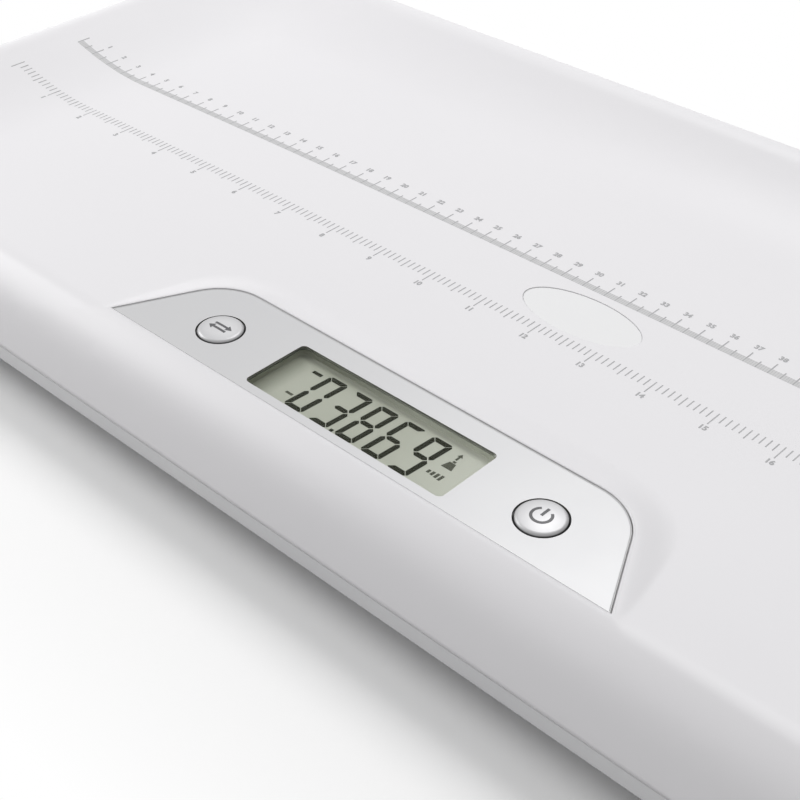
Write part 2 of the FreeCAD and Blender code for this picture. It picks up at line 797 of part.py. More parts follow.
def build_display_stack():
    lens_bottom = panel_seat - dim.lens_flange
    lens_extra = dim.lens_overlap * 2
    lens = new_body("display_window")
    sketch = new_sketch(lens, "lens_flange_outline", lens_bottom)
    draw_rounded_rectangle(
        sketch, dim.window_length + lens_extra, dim.window_depth + lens_extra,
        dim.window_corner + dim.lens_overlap, 0, dim.display_y,
    )
    pad(lens, "lens_flange", sketch, dim.lens_flange)
    sketch = new_sketch(lens, "lens_face_outline", panel_seat)
    draw_rounded_rectangle(
        sketch, dim.window_length - dim.lens_gap * 2, dim.window_depth - dim.lens_gap * 2,
        dim.window_corner - dim.lens_gap, 0, dim.display_y,
    )
    pad(lens, "lens_face", sketch, dim.panel_thickness - dim.lens_recess)

    gasket_bottom = housing_roof - dim.gasket_thickness
    gasket = new_body("display_gasket")
    sketch = new_sketch(gasket, "gasket_flange_outline", gasket_bottom)
    draw_rounded_rectangle(
        sketch, dim.window_length + dim.gasket_overlap * 2, dim.window_depth + dim.gasket_overlap * 2,
        dim.window_corner + dim.gasket_overlap, 0, dim.display_y,
    )
    draw_rounded_rectangle(
        sketch, dim.window_length, dim.window_depth, dim.window_corner, 0, dim.display_y,
    )
    pad(gasket, "gasket_flange", sketch, dim.gasket_thickness)
    sketch = new_sketch(gasket, "gasket_wall_outline", gasket_bottom)
    for grow in (dim.gasket_wall, as_size(0)):
        draw_rounded_rectangle(
            sketch, dim.window_length + grow * 2, dim.window_depth + grow * 2,
            dim.window_corner + grow, 0, dim.display_y,
        )
    pad(gasket, "gasket_wall", sketch, lens_bottom - gasket_bottom)

    cell_bottom = gasket_bottom - dim.cell_thickness
    glass = dim.cell_thickness / 2
    lower_glass = box(
        "lower_glass", dim.cell_length, dim.cell_depth, glass, as_size(0), dim.display_y, cell_bottom,
    )
    upper_glass = box(
        "upper_glass", dim.cell_length, dim.cell_depth - dim.cell_contact_edge, glass,
        as_size(0), dim.display_y + dim.cell_contact_edge / 2, cell_bottom + glass,
    )
    cell = join("display_cell", lower_glass, upper_glass)

    nest_length = dim.cell_length + dim.slip * 2
    nest_depth = dim.cell_depth + dim.slip * 2
    holder_height = cell_bottom + dim.holder_lip_height - dim.board_top
    holder_blank = box(
        "holder_blank", nest_length + dim.holder_wall * 2, nest_depth + dim.holder_wall * 2,
        holder_height, as_size(0), dim.display_y, dim.board_top,
    )
    nest = box(
        "holder_nest", nest_length, nest_depth, dim.cell_thickness * 2, as_size(0), dim.display_y, cell_bottom,
    )
    well_depth = nest_depth - dim.holder_ledge * 2
    well = box(
        "holder_well", nest_length - dim.holder_ledge * 2, well_depth, holder_height * 2,
        as_size(0), dim.display_y, dim.board_top - dim.holder_wall,
    )
    holder = cut("display_holder", holder_blank, nest, well)

    strip_offset = well_depth / 2 - dim.slip - dim.strip_width / 2
    strips = []
    for side in (-1, 1):
        strips.append(box(
            f"contact_strip_{side}", dim.window_length, dim.strip_width, cell_bottom - dim.board_top,
            as_size(0), dim.display_y + strip_offset * side, dim.board_top,
        ))
    return [lens, gasket, cell, holder, group("contact_strips", strips)]


# ---------------------------------------------------------------- circuit board

def build_circuit_board():
    board = new_body("circuit_board")
    sketch = new_sketch(board, "board_outline", board_bottom)
    draw_rectangle(sketch, dim.board_length, dim.board_depth, as_size(0), dim.board_y)
    for x, y in board_screw_places:
        draw_circle(sketch, dim.small_screw_radius + dim.hole_gap, x, y)
    pad(board, "board_plate", sketch, dim.board_thickness)

    # length, width and height of each chip under the board, and its place from the board's middle
    chip_table = [(12, 12, 1.6, 22, 4), (10, 6, 1.5, -22, 5), (6, 4, 1.4, -45, -9)]
    chips = []
    for number, (length, width, height, x, y) in enumerate(chip_table, 1):
        chips.append(box(
            f"chip_{number}", length, width, height, as_size(x), dim.board_y + y, board_bottom - height,
        ))

    # radius and height of each round part under the board, and its place from the board's middle
    can_table = [(2.5, 6, -55, 8), (2.5, 6, -50, 1), (3.2, 8, 50, -9)]
    cans = []
    for number, (radius, height, x, y) in enumerate(can_table, 1):
        cans.append(cylinder(
            f"can_{number}", radius, height, as_size(x), dim.board_y + y, board_bottom - height,
        ))

    sockets = []
    socket_bottom = board_bottom - dim.socket_height
    for side in (-1, 1):
        sockets.append(box(
            f"cell_socket_{side}", dim.socket_length, dim.socket_width, dim.socket_height,
            dim.socket_x * side, dim.socket_y, socket_bottom,
        ))
    sockets.append(box(
        "battery_socket", dim.socket_length, dim.socket_length, dim.socket_height,
        as_size(0), dim.socket_y, socket_bottom,
    ))
    return [
        board,
        group("board_chips", chips),
        group("board_capacitors", cans),
        group("lead_sockets", sockets),
    ]


# ---------------------------------------------------------------- buttons
# Each cap is a shallow dome with a retaining flange below the housing roof and a
# stem that rests on the plunger of its switch.

def build_button(name, side):
    x = dim.button_x * side
    y = dim.button_y
    flange_top = housing_roof - dim.flange_gap
    flange_bottom = flange_top - dim.flange_thickness
    plunger_top = dim.board_top + dim.switch_height + dim.plunger_proud
    edge_height = dim.panel_height + dim.button_proud
    dome_top = edge_height + dim.button_dome
    dome_radius = (dim.button_radius * dim.button_radius / dim.button_dome + dim.button_dome) / 2

    drum = cylinder(name + "_drum", dim.button_radius, dome_top - flange_top + 1, x, y, flange_top)
    dome = doc.addObject("Part::Sphere", name + "_dome")
    bind(dome, Radius=dome_radius)
    place(dome, x, y, dome_top - dome_radius)
    cap = doc.addObject("Part::Common", name + "_cap")
    cap.Base = drum
    cap.Tool = dome
    doc.recompute()
    rim = [
        i for i, e in enumerate(cap.Shape.Edges, 1)
        if e.BoundBox.ZMin > dim.panel_height.value and e.BoundBox.ZLength < dim.button_dome.value / 2
    ]
    soft_cap = doc.addObject("Part::Fillet", name + "_soft_cap")
    soft_cap.Base = cap
    soft_cap.Edges = [(i, dim.button_edge.value, dim.button_edge.value) for i in rim]
    flange = cylinder(name + "_flange", dim.flange_radius, dim.flange_thickness, x, y, flange_bottom)
    stem = cylinder(name + "_stem", dim.stem_radius, flange_bottom - plunger_top, x, y, plunger_top)
    button = join(name + "_button", soft_cap, flange, stem)

    switch_blank = box(
        name + "_switch_blank", dim.switch_size, dim.switch_size, dim.switch_height, x, y, dim.board_top,
    )
    plunger_bottom = dim.board_top + dim.switch_height - dim.plunger_depth
    bore = cylinder(
        name + "_switch_bore", dim.plunger_radius + dim.running_gap, dim.switch_height,
        x, y, plunger_bottom - dim.plunger_room,
    )
    switch = cut(name + "_switch", switch_blank, bore)
    plunger = cylinder(
        name + "_plunger", dim.plunger_radius, dim.plunger_depth + dim.plunger_proud, x, y, plunger_bottom,
    )
    return [button, switch, plunger]


# ---------------------------------------------------------------- base cover
# A flat pan that closes the tray from below. It has a locating tongue, seats for
# the four load cells, screw bosses and the battery well.

well_length = (
    dim.battery_length + dim.battery_nub + dim.spring_length + dim.terminal_thickness * 2
)
well_width = dim.battery_pitch * 3 + dim.battery_radius * 2 + dim.battery_side_room * 2
battery_height = floor_top + dim.battery_floor_gap + dim.battery_radius
well_roof = battery_height + dim.battery_radius + dim.battery_floor_gap
door_length = well_length + dim.latch_room - dim.door_gap * 2
door_x = dim.latch_room / 2
tab_places = [dim.well_y + dim.battery_pitch * side for side in (-1, 1)]
tab_swing_top = floor_top + dim.tab_reach + dim.tab_thickness


def build_base_cover():
    body = new_body("base_cover")
    length = dim.tray_length - dim.seam_step * 2
    width = dim.tray_depth - dim.seam_step * 2
    radius = dim.corner_radius - dim.seam_step
    rim_top = dim.seam_height - dim.seam_gap

    sketch = new_sketch(body, "base_outline", dim.base_height)
    draw_rounded_rectangle(sketch, length, width, radius)
    blank = pad(body, "base_blank", sketch, rim_top - dim.base_height)

    def bottom_edge(edge):
        return edge.BoundBox.ZMax < dim.base_height.value + 1e-3

    def top_edge(edge):
        return edge.BoundBox.ZMin > rim_top.value - 1e-3

    rounded = fillet(body, "base_lower_edge", blank, dim.base_edge, bottom_edge)
    fillet(body, "base_upper_edge", rounded, dim.base_upper_edge, top_edge)
    sketch = new_sketch(body, "base_inside", rim_top)
    draw_rounded_rectangle(
        sketch, length - dim.base_wall * 2, width - dim.base_wall * 2, radius - dim.base_wall,
    )
    pocket(body, "base_pan", sketch, rim_top - floor_top)

    tongue_inset = dim.tray_wall + dim.tongue_gap
    shoulder_inset = dim.seam_step + dim.base_wall
    shoulder_bottom = rim_top - dim.shoulder_height
    levels = (("shoulder", shoulder_inset, rim_top), ("tongue", tongue_inset, dim.seam_height + dim.tongue_height))
    for name, outer_inset, top in levels:
        sketch = new_sketch(body, name + "_outline", shoulder_bottom)
        for inset in (outer_inset, tongue_inset + dim.tongue_wall):
            draw_rounded_rectangle(
                sketch, dim.tray_length - inset * 2, dim.tray_depth - inset * 2, dim.corner_radius - inset,
            )
        pad(body, name, sketch, top - shoulder_bottom)

    sketch = new_sketch(body, "cell_seat_outlines", floor_top)
    for sx, sy in QUARTERS.values():
        draw_rectangle(sketch, dim.seat_size, dim.seat_size, dim.foot_x * sx, dim.foot_y * sy)
    pad(body, "cell_seats", sketch, dim.seat_thickness)

    sketch = new_sketch(body, "boss_outlines", floor_top)
    for x, y in base_screw_places:
        draw_circle(sketch, dim.boss_radius, x, y)
    pad(body, "bosses", sketch, dim.post_joint_height - floor_top)

    sketch = new_sketch(body, "well_walls_outline", floor_top)
    for grow in (dim.well_wall * 2, as_size(0)):
        draw_rectangle(sketch, well_length + grow, well_width + grow, as_size(0), dim.well_y)
    pad(body, "well_walls", sketch, well_roof - floor_top)
    sketch = new_sketch(body, "well_roof_outline", well_roof)
    draw_rectangle(
        sketch, well_length + dim.well_wall * 2, well_width + dim.well_wall * 2, as_size(0), dim.well_y,
    )
    pad(body, "well_roof", sketch, dim.well_wall)

    sketch = new_sketch(body, "door_opening_outline", floor_top + dim.door_gap)
    draw_rectangle(sketch, well_length + dim.latch_room, well_width, door_x, dim.well_y)
    pocket(body, "door_opening", sketch, dim.base_floor + dim.door_gap * 2)
    sketch = new_sketch(body, "tab_windows_outline", tab_swing_top)
    for y in tab_places:
        draw_rectangle(
            sketch, dim.well_wall * 2, dim.tab_width + dim.door_gap * 2, -(well_length + dim.well_wall) / 2, y,
        )
    pocket(body, "tab_windows", sketch, tab_swing_top - floor_top)

    sketch = new_sketch(body, "foot_holes_outline", seat_top)
    for sx, sy in QUARTERS.values():
        draw_circle(sketch, dim.neck_radius + dim.neck_gap * 1.5, dim.foot_x * sx, dim.foot_y * sy)
    pocket(body, "foot_holes", sketch, dim.seat_thickness + dim.base_floor)
    sketch = new_sketch(body, "frame_pilots_outline", seat_top)
    for x, y in frame_screw_places:
        draw_circle(sketch, dim.small_screw_radius + dim.thread_gap, x, y)
    pocket(body, "frame_pilots", sketch, dim.frame_screw_length - dim.frame_height + dim.slip)
    sketch = new_sketch(body, "screw_holes_outline", dim.post_joint_height)
    for x, y in base_screw_places:
        draw_circle(sketch, dim.base_screw_radius + dim.hole_gap, x, y)
    pocket(body, "screw_holes", sketch, dim.post_joint_height - dim.base_height)
    sketch = new_sketch(body, "head_recess_outline", dim.base_height)
    for x, y in base_screw_places:
        draw_circle(sketch, dim.base_screw_head + dim.hole_gap * 2, x, y)
    pocket(body, "head_recesses", sketch, dim.head_height * 1.5, upward=True)
    return body


# ---------------------------------------------------------------- battery bay

def build_batteries():
    cells, plates, springs = [], [], []
    half = well_length / 2
    for number in range(4):
        y = dim.well_y + dim.battery_pitch * (number - 1.5)
        facing = 1 if number % 2 == 0 else -1
        # the plus end points along facing; the spring presses on the other end
        plus_face = (half - dim.terminal_thickness - dim.battery_nub) * facing
        minus_face = plus_face - dim.battery_length * facing
        can = cylinder(
            f"battery_can_{number + 1}", dim.battery_radius, dim.battery_length,
            minus_face, y, battery_height, Vector(facing, 0, 0),
        )
        nub = cylinder(
            f"battery_nub_{number + 1}", dim.battery_nub_radius, dim.battery_nub,
            plus_face, y, battery_height, Vector(facing, 0, 0),
        )
        cells.append(join(f"battery_{number + 1}", can, nub))
        for end in (-1, 1):
            plates.append(box(
                f"terminal_{number + 1}_{end}", dim.terminal_thickness, dim.terminal_width, dim.terminal_height,
                (half - dim.terminal_thickness / 2) * end, y, battery_height - dim.terminal_height / 2,
            ))
        springs.append(build_spring(
            f"battery_spring_{number + 1}", -(half - dim.terminal_thickness).value * facing, y.value, facing,
        ))
    return cells + [group("battery_terminals", plates), group("battery_springs", springs)]


def build_spring(name, x, y, facing):
    """A cylindrical coil of round wire between a terminal plate and a battery."""
    turns = 3
    end_gap = 0.01
    wire = dim.spring_wire.value
    radius = dim.spring_radius.value
    travel = dim.spring_length.value - 2 * (wire + end_gap)
    helix = Part.makeLongHelix(travel / turns, travel, radius)
    profile = Part.Wire([Part.makeCircle(wire, Vector(radius, 0, 0), Vector(0, 1, 0))])
    coil = Part.Wire(helix.Edges).makePipeShell([profile], True, True)
    spring = solid_feature(name, coil)
    turn = FreeCAD.Rotation(Vector(0, 0, 1), Vector(facing, 0, 0))
    start = Vector(x + (wire + end_gap) * facing, y, battery_height.value)
    spring.Placement = FreeCAD.Placement(start, turn)
    return spring


def build_battery_door():
    """A flush plate hinged on two tabs, with a folded spring latch at its other end."""
    left = door_x - door_length / 2
    right = door_x + door_length / 2
    width = well_width - dim.door_gap * 2
    plate = box("door_plate", door_length, width, dim.base_floor, door_x, dim.well_y, dim.base_height)
    pieces = [plate]
    for number, y in enumerate(tab_places, 1):
        root = dim.tab_reach
        pieces.append(box(
            f"door_tab_root_{number}", root, dim.tab_width, dim.tab_thickness + dim.door_gap,
            left + root / 2, y, floor_top,
        ))
        pieces.append(box(
            f"door_tab_{number}", root + dim.tab_reach, dim.tab_width, dim.tab_thickness,
            left + (root - dim.tab_reach) / 2, y, floor_top + dim.door_gap,
        ))
    outer_leg = right - dim.latch_gap - dim.latch_wall / 2
    inner_leg = outer_leg - dim.latch_wall * 2
    pieces.append(box(
        "latch_inner_leg", dim.latch_wall, dim.latch_width, dim.latch_height, inner_leg, dim.well_y, floor_top,
    ))
    pieces.append(box(
        "latch_bridge", dim.latch_wall * 3, dim.latch_width, dim.latch_wall,
        (inner_leg + outer_leg) / 2, dim.well_y, floor_top + dim.latch_height - dim.latch_wall,
    ))
    pieces.append(box(
        "latch_outer_leg", dim.latch_wall, dim.latch_width, dim.latch_height - dim.latch_wall,
        outer_leg, dim.well_y, floor_top + dim.latch_wall,
    ))
    pieces.append(box(
        "latch_nib", dim.latch_gap, dim.latch_width, dim.latch_wall,
        right - dim.latch_gap / 2, dim.well_y, floor_top + dim.latch_wall,
    ))
    return join("battery_door", *pieces)


# ---------------------------------------------------------------- load cells
# At each corner: a rubber pad under a foot, whose tip presses the tongue of a
# flat steel load cell. The cell's outer frame sits in a holder on the base.

def build_load_cell(corner, sx, sy):
    x = dim.foot_x * sx
    y = dim.foot_y * sy
    foot_bottom = dim.pad_thickness
    disc_top = foot_bottom + dim.foot_thickness
    rubber = cylinder(f"foot_pad_{corner}", dim.pad_radius, dim.pad_thickness, x, y, as_size(0))
    foot = join(
        f"foot_{corner}",
        cylinder(f"foot_disc_{corner}", dim.foot_radius, dim.foot_thickness, x, y, foot_bottom),
        cylinder(f"foot_neck_{corner}", dim.neck_radius, dim.neck_top - disc_top, x, y, disc_top),
        cylinder(f"foot_tip_{corner}", dim.boss_tip_radius, beam_bottom - dim.neck_top, x, y, dim.neck_top),
    )

    frame_blank = box(
        f"frame_blank_{corner}", dim.frame_size, dim.frame_size, dim.frame_height, x, y, seat_top,
    )
    nest = box(
        f"frame_nest_{corner}", dim.beam_size + dim.slip * 2, dim.beam_size + dim.slip * 2,
        dim.frame_height, x, y, beam_bottom,
    )
    throat = cylinder(
        f"frame_throat_{corner}", dim.neck_radius + dim.neck_gap, dim.frame_height * 2, x, y, floor_top,
    )
    lead_notch = box(
        f"frame_notch_{corner}", dim.frame_size / 2, (dim.cell_lead_radius + dim.slip) * 2, dim.frame_height,
        x - dim.frame_size / 4 * sx, y, beam_top,
    )
    tools = [nest, throat, lead_notch]
    for number, (hole_x, hole_y) in enumerate(frame_screw_places):
        if list(QUARTERS).index(corner) == number // 2:
            tools.append(cylinder(
                f"frame_hole_{corner}_{number % 2}", dim.small_screw_radius + dim.hole_gap,
                dim.frame_height * 2, hole_x, hole_y, floor_top,
            ))
    frame = cut(f"cell_frame_{corner}", frame_blank, *tools)

    beam = new_body(f"load_cell_{corner}")
    sketch = new_sketch(beam, f"beam_outline_{corner}", beam_bottom)
    draw_rectangle(sketch, dim.beam_size, dim.beam_size, x, y)
    tongue = dim.beam_tongue / 2
    slot_side = tongue + dim.beam_slot
    closed_end = x + (dim.beam_size / 2 - dim.beam_edge) * sx
    tongue_tip = closed_end - dim.beam_slot * sx
    root = x - (dim.beam_size / 2 - dim.beam_edge) * sx
    draw_polygon(sketch, [
        (closed_end, y - slot_side),
        (closed_end, y + slot_side),
        (root, y + slot_side),
        (root, y + tongue),
        (tongue_tip, y + tongue),
        (tongue_tip, y - tongue),
        (root, y - tongue),
        (root, y - slot_side),
    ])
    pad(beam, f"beam_plate_{corner}", sketch, dim.beam_thickness)
    gauge = box(
        f"gauge_{corner}", dim.gauge_length, dim.gauge_width, dim.gauge_height,
        x - dim.gauge_offset * sx, y, beam_top,
    )
    return [rubber, foot, frame, beam], gauge


# ---------------------------------------------------------------- screws

def build_screw(name, radius, length, head_radius, head_height, x, y, head_face, upward):
    """A round-headed cross screw; upward means that it is driven from below."""
    way = 1 if upward else -1
    axis = Vector(0, 0, way)
    shank = cylinder(name + "_shank", radius, length, x, y, head_face, axis)
    head = cylinder(name + "_head", head_radius, head_height, x, y, head_face, -axis)
    slot_depth = head_height / 2
    outer_face = head_face - head_height * way
    slot_low = outer_face if upward else outer_face - slot_depth
    slot_length = head_radius * 1.2
    crosses = [
        box(name + "_slot_a", slot_length, dim.cross_width, slot_depth, x, y, slot_low),
        box(name + "_slot_b", dim.cross_width, slot_length, slot_depth, x, y, slot_low),
    ]
    return cut(name, join(name + "_solid", shank, head), *crosses)


def build_screws():
    base_screws = []
    for number, (x, y) in enumerate(base_screw_places, 1):
        base_screws.append(build_screw(
            f"base_screw_{number}", dim.base_screw_radius, dim.base_screw_length, dim.base_screw_head,
            dim.head_height, x, y, dim.base_height + dim.head_height * 1.5, upward=True,
        ))
    board_screws = []
    for number, (x, y) in enumerate(board_screw_places, 1):
        board_screws.append(build_screw(
            f"board_screw_{number}", dim.small_screw_radius, dim.board_screw_length, dim.small_screw_head,
            dim.small_head_height, x, y, board_bottom, upward=True,
        ))
    frame_screws = []
    for number, (x, y) in enumerate(frame_screw_places, 1):
        frame_screws.append(build_screw(
            f"frame_screw_{number}", dim.small_screw_radius, dim.frame_screw_length, dim.small_screw_head,
            dim.small_head_height, x, y, seat_top + dim.frame_height, upward=False,
        ))
    return [
        group("base_screws", base_screws),
        group("board_screws", board_screws),
        group("frame_screws", frame_screws),
    ]


# ---------------------------------------------------------------- leads and clips

def lead(name, radius, points):
    """A round lead along straight runs joined by tangent arcs."""
    points = [Vector(*point) for point in points]
    edges = []
    start = points[0]
    arc_radii = []
    for before, corner, after in zip(points, points[1:], points[2:]):
        to_before = (before - corner).normalize()
        to_after = (after - corner).normalize()
        half_turn = (math.pi - to_before.getAngle(to_after)) / 2
        tangent_length = 0.45 * min(before.distanceToPoint(corner), after.distanceToPoint(corner))
        arc_radius = tangent_length / math.tan(half_turn)
        arc_radii.append(round(arc_radius, 1))
        arc_start = corner + to_before * tangent_length
        arc_end = corner + to_after * tangent_length
        bisector = (to_before + to_after).normalize()
        arc_middle = corner + bisector * (arc_radius / math.cos(half_turn) - arc_radius)
        edges.append(Part.LineSegment(start, arc_start).toShape())
        edges.append(Part.Arc(arc_start, arc_middle, arc_end).toShape())
        start = arc_end
    edges.append(Part.LineSegment(start, points[-1]).toShape())
    path = Part.Wire(edges)
    direction = points[1] - points[0]
    profile = Part.Wire([Part.makeCircle(radius, points[0], direction)])
    tube = path.makePipeShell([profile], True, False)
    expected = math.pi * radius ** 2 * path.Length
    print(f"{name}: length {path.Length:.1f}, radii {arc_radii}, volume ratio {tube.Volume / expected:.4f}")
    return solid_feature(name, tube)


# Each bend of a lead lies at shares of the way along x and y, and so far above the floor.
FRONT_LEAD_BENDS = [(0.26, 0.3, 0), (0.59, 0.95, 0), (0.8, 1, 5)]
REAR_LEAD_BENDS = [(0.27, 0.08, 0), (0.57, 0.29, 0), (0.73, 0.56, 0), (0.79, 0.81, 0), (0.87, 0.94, 7)]
# A battery lead's bends: x, share of the way along y, height above the floor.
BATTERY_LEAD_BENDS = [(6, 0.17, 1), (5, 0.43, 0), (5, 0.73, 1), (3, 0.9, 12)]


def cell_lead_route(sy):
    """The right-hand lead's points, from its gauge to its socket; sy is -1 in front, 1 behind."""
    straight_run = 8
    drop_run = 24
    socket_run = 14
    y = dim.foot_y.value * sy
    gap = dim.slip.value
    low = floor_top.value + dim.cell_lead_radius.value + gap
    exit_height = beam_top.value + dim.cell_lead_radius.value + gap / 2
    gauge_face = dim.foot_x.value - dim.gauge_offset.value - dim.gauge_length.value / 2
    frame_face = dim.foot_x.value - dim.frame_size.value / 2
    socket_face = dim.socket_x.value + dim.socket_length.value / 2
    socket_y = dim.socket_y.value + dim.socket_width.value / 4 * sy
    socket_height = board_bottom.value - dim.socket_height.value / 2
    landing_x, landing_y = frame_face - drop_run, y - 2
    way_x = socket_face + socket_run - landing_x
    way_y = socket_y - landing_y
    route = [
        (gauge_face, y, exit_height), (frame_face - straight_run, y, exit_height), (landing_x, landing_y, low),
    ]
    for share_x, share_y, lift in FRONT_LEAD_BENDS if sy < 0 else REAR_LEAD_BENDS:
        route.append((landing_x + way_x * share_x, landing_y + way_y * share_y, low + lift))
    return route + [(socket_face + socket_run, socket_y, socket_height), (socket_face, socket_y, socket_height)]


def battery_lead_route():
    """The plus lead's points, from the battery well to its socket."""
    exit_x, exit_lift, exit_run = 5, 6, 12
    plug_x, plug_run = 2.5, 6
    low = floor_top.value + dim.battery_lead_radius.value + dim.slip.value
    well_face = dim.well_y.value - well_width.value / 2 - dim.well_wall.value
    socket_back = dim.socket_y.value + dim.socket_length.value / 2
    socket_height = board_bottom.value - dim.socket_height.value / 2
    start_y = well_face - exit_run
    way_y = socket_back + plug_run - start_y
    route = [(exit_x, well_face, low + exit_lift), (exit_x, start_y, low + exit_lift)]
    for x, share, lift in BATTERY_LEAD_BENDS:
        route.append((x, start_y + way_y * share, low + lift))
    return route + [(plug_x, socket_back + plug_run, socket_height), (plug_x, socket_back, socket_height)]


def build_leads():
    leads = []
    for corner, (sx, sy) in QUARTERS.items():
        route = [(sx * x, y, z) for x, y, z in cell_lead_route(sy)]
        leads.append(lead(f"cell_lead_{corner}", dim.cell_lead_radius.value, route))
    for name, sx in (("battery_lead_minus", -1), ("battery_lead_plus", 1)):
        route = [(sx * x, y, z) for x, y, z in battery_lead_route()]
        leads.append(lead(name, dim.battery_lead_radius.value, route))
    return leads


def build_clips():
    """Small saddles on the base floor, each astride the middle of one run of a cell lead."""
    clips = []
    clipped_run = 3
    hole_radius = dim.cell_lead_radius + dim.slip
    for corner, (sx, sy) in QUARTERS.items():
        route = [Vector(sx * x, y, 0) for x, y, z in cell_lead_route(sy)]
        start, end = route[clipped_run], route[clipped_run + 1]
        name = f"lead_clip_{corner}"
        saddle = doc.addObject("Part::Box", name + "_saddle")
        bind(saddle, Length=dim.clip_length, Width=dim.clip_width, Height=dim.clip_height)
        place(saddle, -dim.clip_length / 2, -dim.clip_width / 2, 0)
        hole = cylinder(
            name + "_hole", hole_radius, dim.clip_length * 2, -dim.clip_length, as_size(0), hole_radius,
            Vector(1, 0, 0),
        )
        slot = box(
            name + "_slot", dim.clip_length * 2, hole_radius * 2, hole_radius, as_size(0), as_size(0), as_size(0),
        )
        clip = cut(name, saddle, hole, slot)
        middle = (start + end) / 2 + Vector(0, 0, floor_top.value)
        clip.Placement = FreeCAD.Placement(middle, FreeCAD.Rotation(Vector(1, 0, 0), end - start))
        clips.append(clip)
    return group("lead_clips", clips)


# ---------------------------------------------------------------- assembly

nodes = [build_tray_shell(), build_badge_plate(), build_control_panel()]
nodes += build_display_stack()
nodes += build_circuit_board()
for button_name, button_side in BUTTON_SIDES.items():
    nodes += build_button(button_name, button_side)
nodes.append(build_base_cover())
nodes += build_batteries()
nodes.append(build_battery_door())
gauges = []
for corner_name, signs in QUARTERS.items():
    cell_nodes, gauge_block = build_load_cell(corner_name, *signs)
    nodes += cell_nodes
    gauges.append(gauge_block)
nodes.append(group("strain_gauges", gauges))
nodes += build_screws()
nodes += build_leads()
nodes.append(build_clips())
doc.recompute()

for obj in doc.Objects:
    if "Invalid" in obj.State or "Error" in obj.State:
        raise RuntimeError(f"{obj.Label} failed: {obj.State}")
for node in nodes:
    if node.Shape.isNull() or not node.Shape.isValid():
        raise RuntimeError(f"{node.Label} has no valid shape")
for node in nodes:
    node.Shape.exportStep(f"parts/{node.Label}.step")
print(f"{len(nodes)} nodes written")
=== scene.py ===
import math

import bmesh
import bpy
from mathutils import Matrix, Vector
from mathutils.bvhtree import BVHTree


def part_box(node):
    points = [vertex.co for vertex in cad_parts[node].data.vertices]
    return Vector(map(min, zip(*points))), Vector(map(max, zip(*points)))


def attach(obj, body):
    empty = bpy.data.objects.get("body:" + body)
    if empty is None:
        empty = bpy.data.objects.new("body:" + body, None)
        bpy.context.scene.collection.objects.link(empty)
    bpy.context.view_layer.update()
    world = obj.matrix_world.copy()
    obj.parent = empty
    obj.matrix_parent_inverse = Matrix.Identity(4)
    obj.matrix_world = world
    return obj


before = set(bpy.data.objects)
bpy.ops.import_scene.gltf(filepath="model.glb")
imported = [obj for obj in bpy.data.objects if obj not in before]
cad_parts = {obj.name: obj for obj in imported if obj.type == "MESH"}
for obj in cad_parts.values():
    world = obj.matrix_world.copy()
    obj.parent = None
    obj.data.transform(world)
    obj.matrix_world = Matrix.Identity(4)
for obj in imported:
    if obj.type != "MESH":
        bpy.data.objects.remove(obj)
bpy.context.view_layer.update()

# ---------------------------------------------------------------- rubber feet
# Four round feet carry the whole scale. Each is a hard moulded disc with a soft
# black rubber pad bonded below it, and its domed tip presses on a load cell.

def add_node(tree, kind, inputs=None, **settings):
    """A new node with its settings; each input gets a value, or a link where it is a socket."""
    node = tree.nodes.new(kind)
    for name, value in settings.items():
        setattr(node, name, value)
    for name, value in (inputs or {}).items():
        if isinstance(value, bpy.types.NodeSocket):
            tree.links.new(value, node.inputs[name])
        else:
            node.inputs[name].default_value = value
    return node


def computed(tree, operation, *values):
    """The result socket of a math node."""
    return add_node(tree, "ShaderNodeMath", dict(enumerate(values)), operation=operation).outputs[0]


def vector_computed(tree, operation, *values, output="Vector"):
    """The result socket of a vector math node."""
    return add_node(tree, "ShaderNodeVectorMath", dict(enumerate(values)), operation=operation).outputs[output]


def object_place(tree):
    """The socket of a point's own place on its piece, in metres."""
    return add_node(tree, "ShaderNodeTexCoord").outputs["Object"]


def noise(tree, place, scale, **inputs):
    """The socket of a soft random pattern."""
    return add_node(tree, "ShaderNodeTexNoise", {"Vector": place, "Scale": scale, **inputs}).outputs[0]


def mixed(tree, factor, first, second):
    """The colour socket of first mixed towards second."""
    return add_node(tree, "ShaderNodeMix", {0: factor, 6: first, 7: second}, data_type="RGBA").outputs[2]


def stretched(tree, value, low, high, new_low=0.0, new_high=1.0):
    """The value socket stretched from low..high to new_low..new_high and held there."""
    return add_node(
        tree, "ShaderNodeMapRange", {0: value, 1: low, 2: high, 3: new_low, 4: new_high},
    ).outputs[0]


def new_group(name, inputs, outputs):
    """A shader node group: its tree, its inputs' sockets and its output node."""
    tree = bpy.data.node_groups.new(name, "ShaderNodeTree")
    for label, kind, value in inputs:
        socket = tree.interface.new_socket(name=label, in_out="INPUT", socket_type="NodeSocket" + kind)
        socket.default_value = value
    for label, kind in outputs:
        tree.interface.new_socket(name=label, in_out="OUTPUT", socket_type="NodeSocket" + kind)
    return tree, tree.nodes.new("NodeGroupInput").outputs, tree.nodes.new("NodeGroupOutput")


def end_group(tree, out, **results):
    """Links a group's results to its outputs."""
    for label, socket in results.items():
        tree.links.new(socket, out.inputs[label])


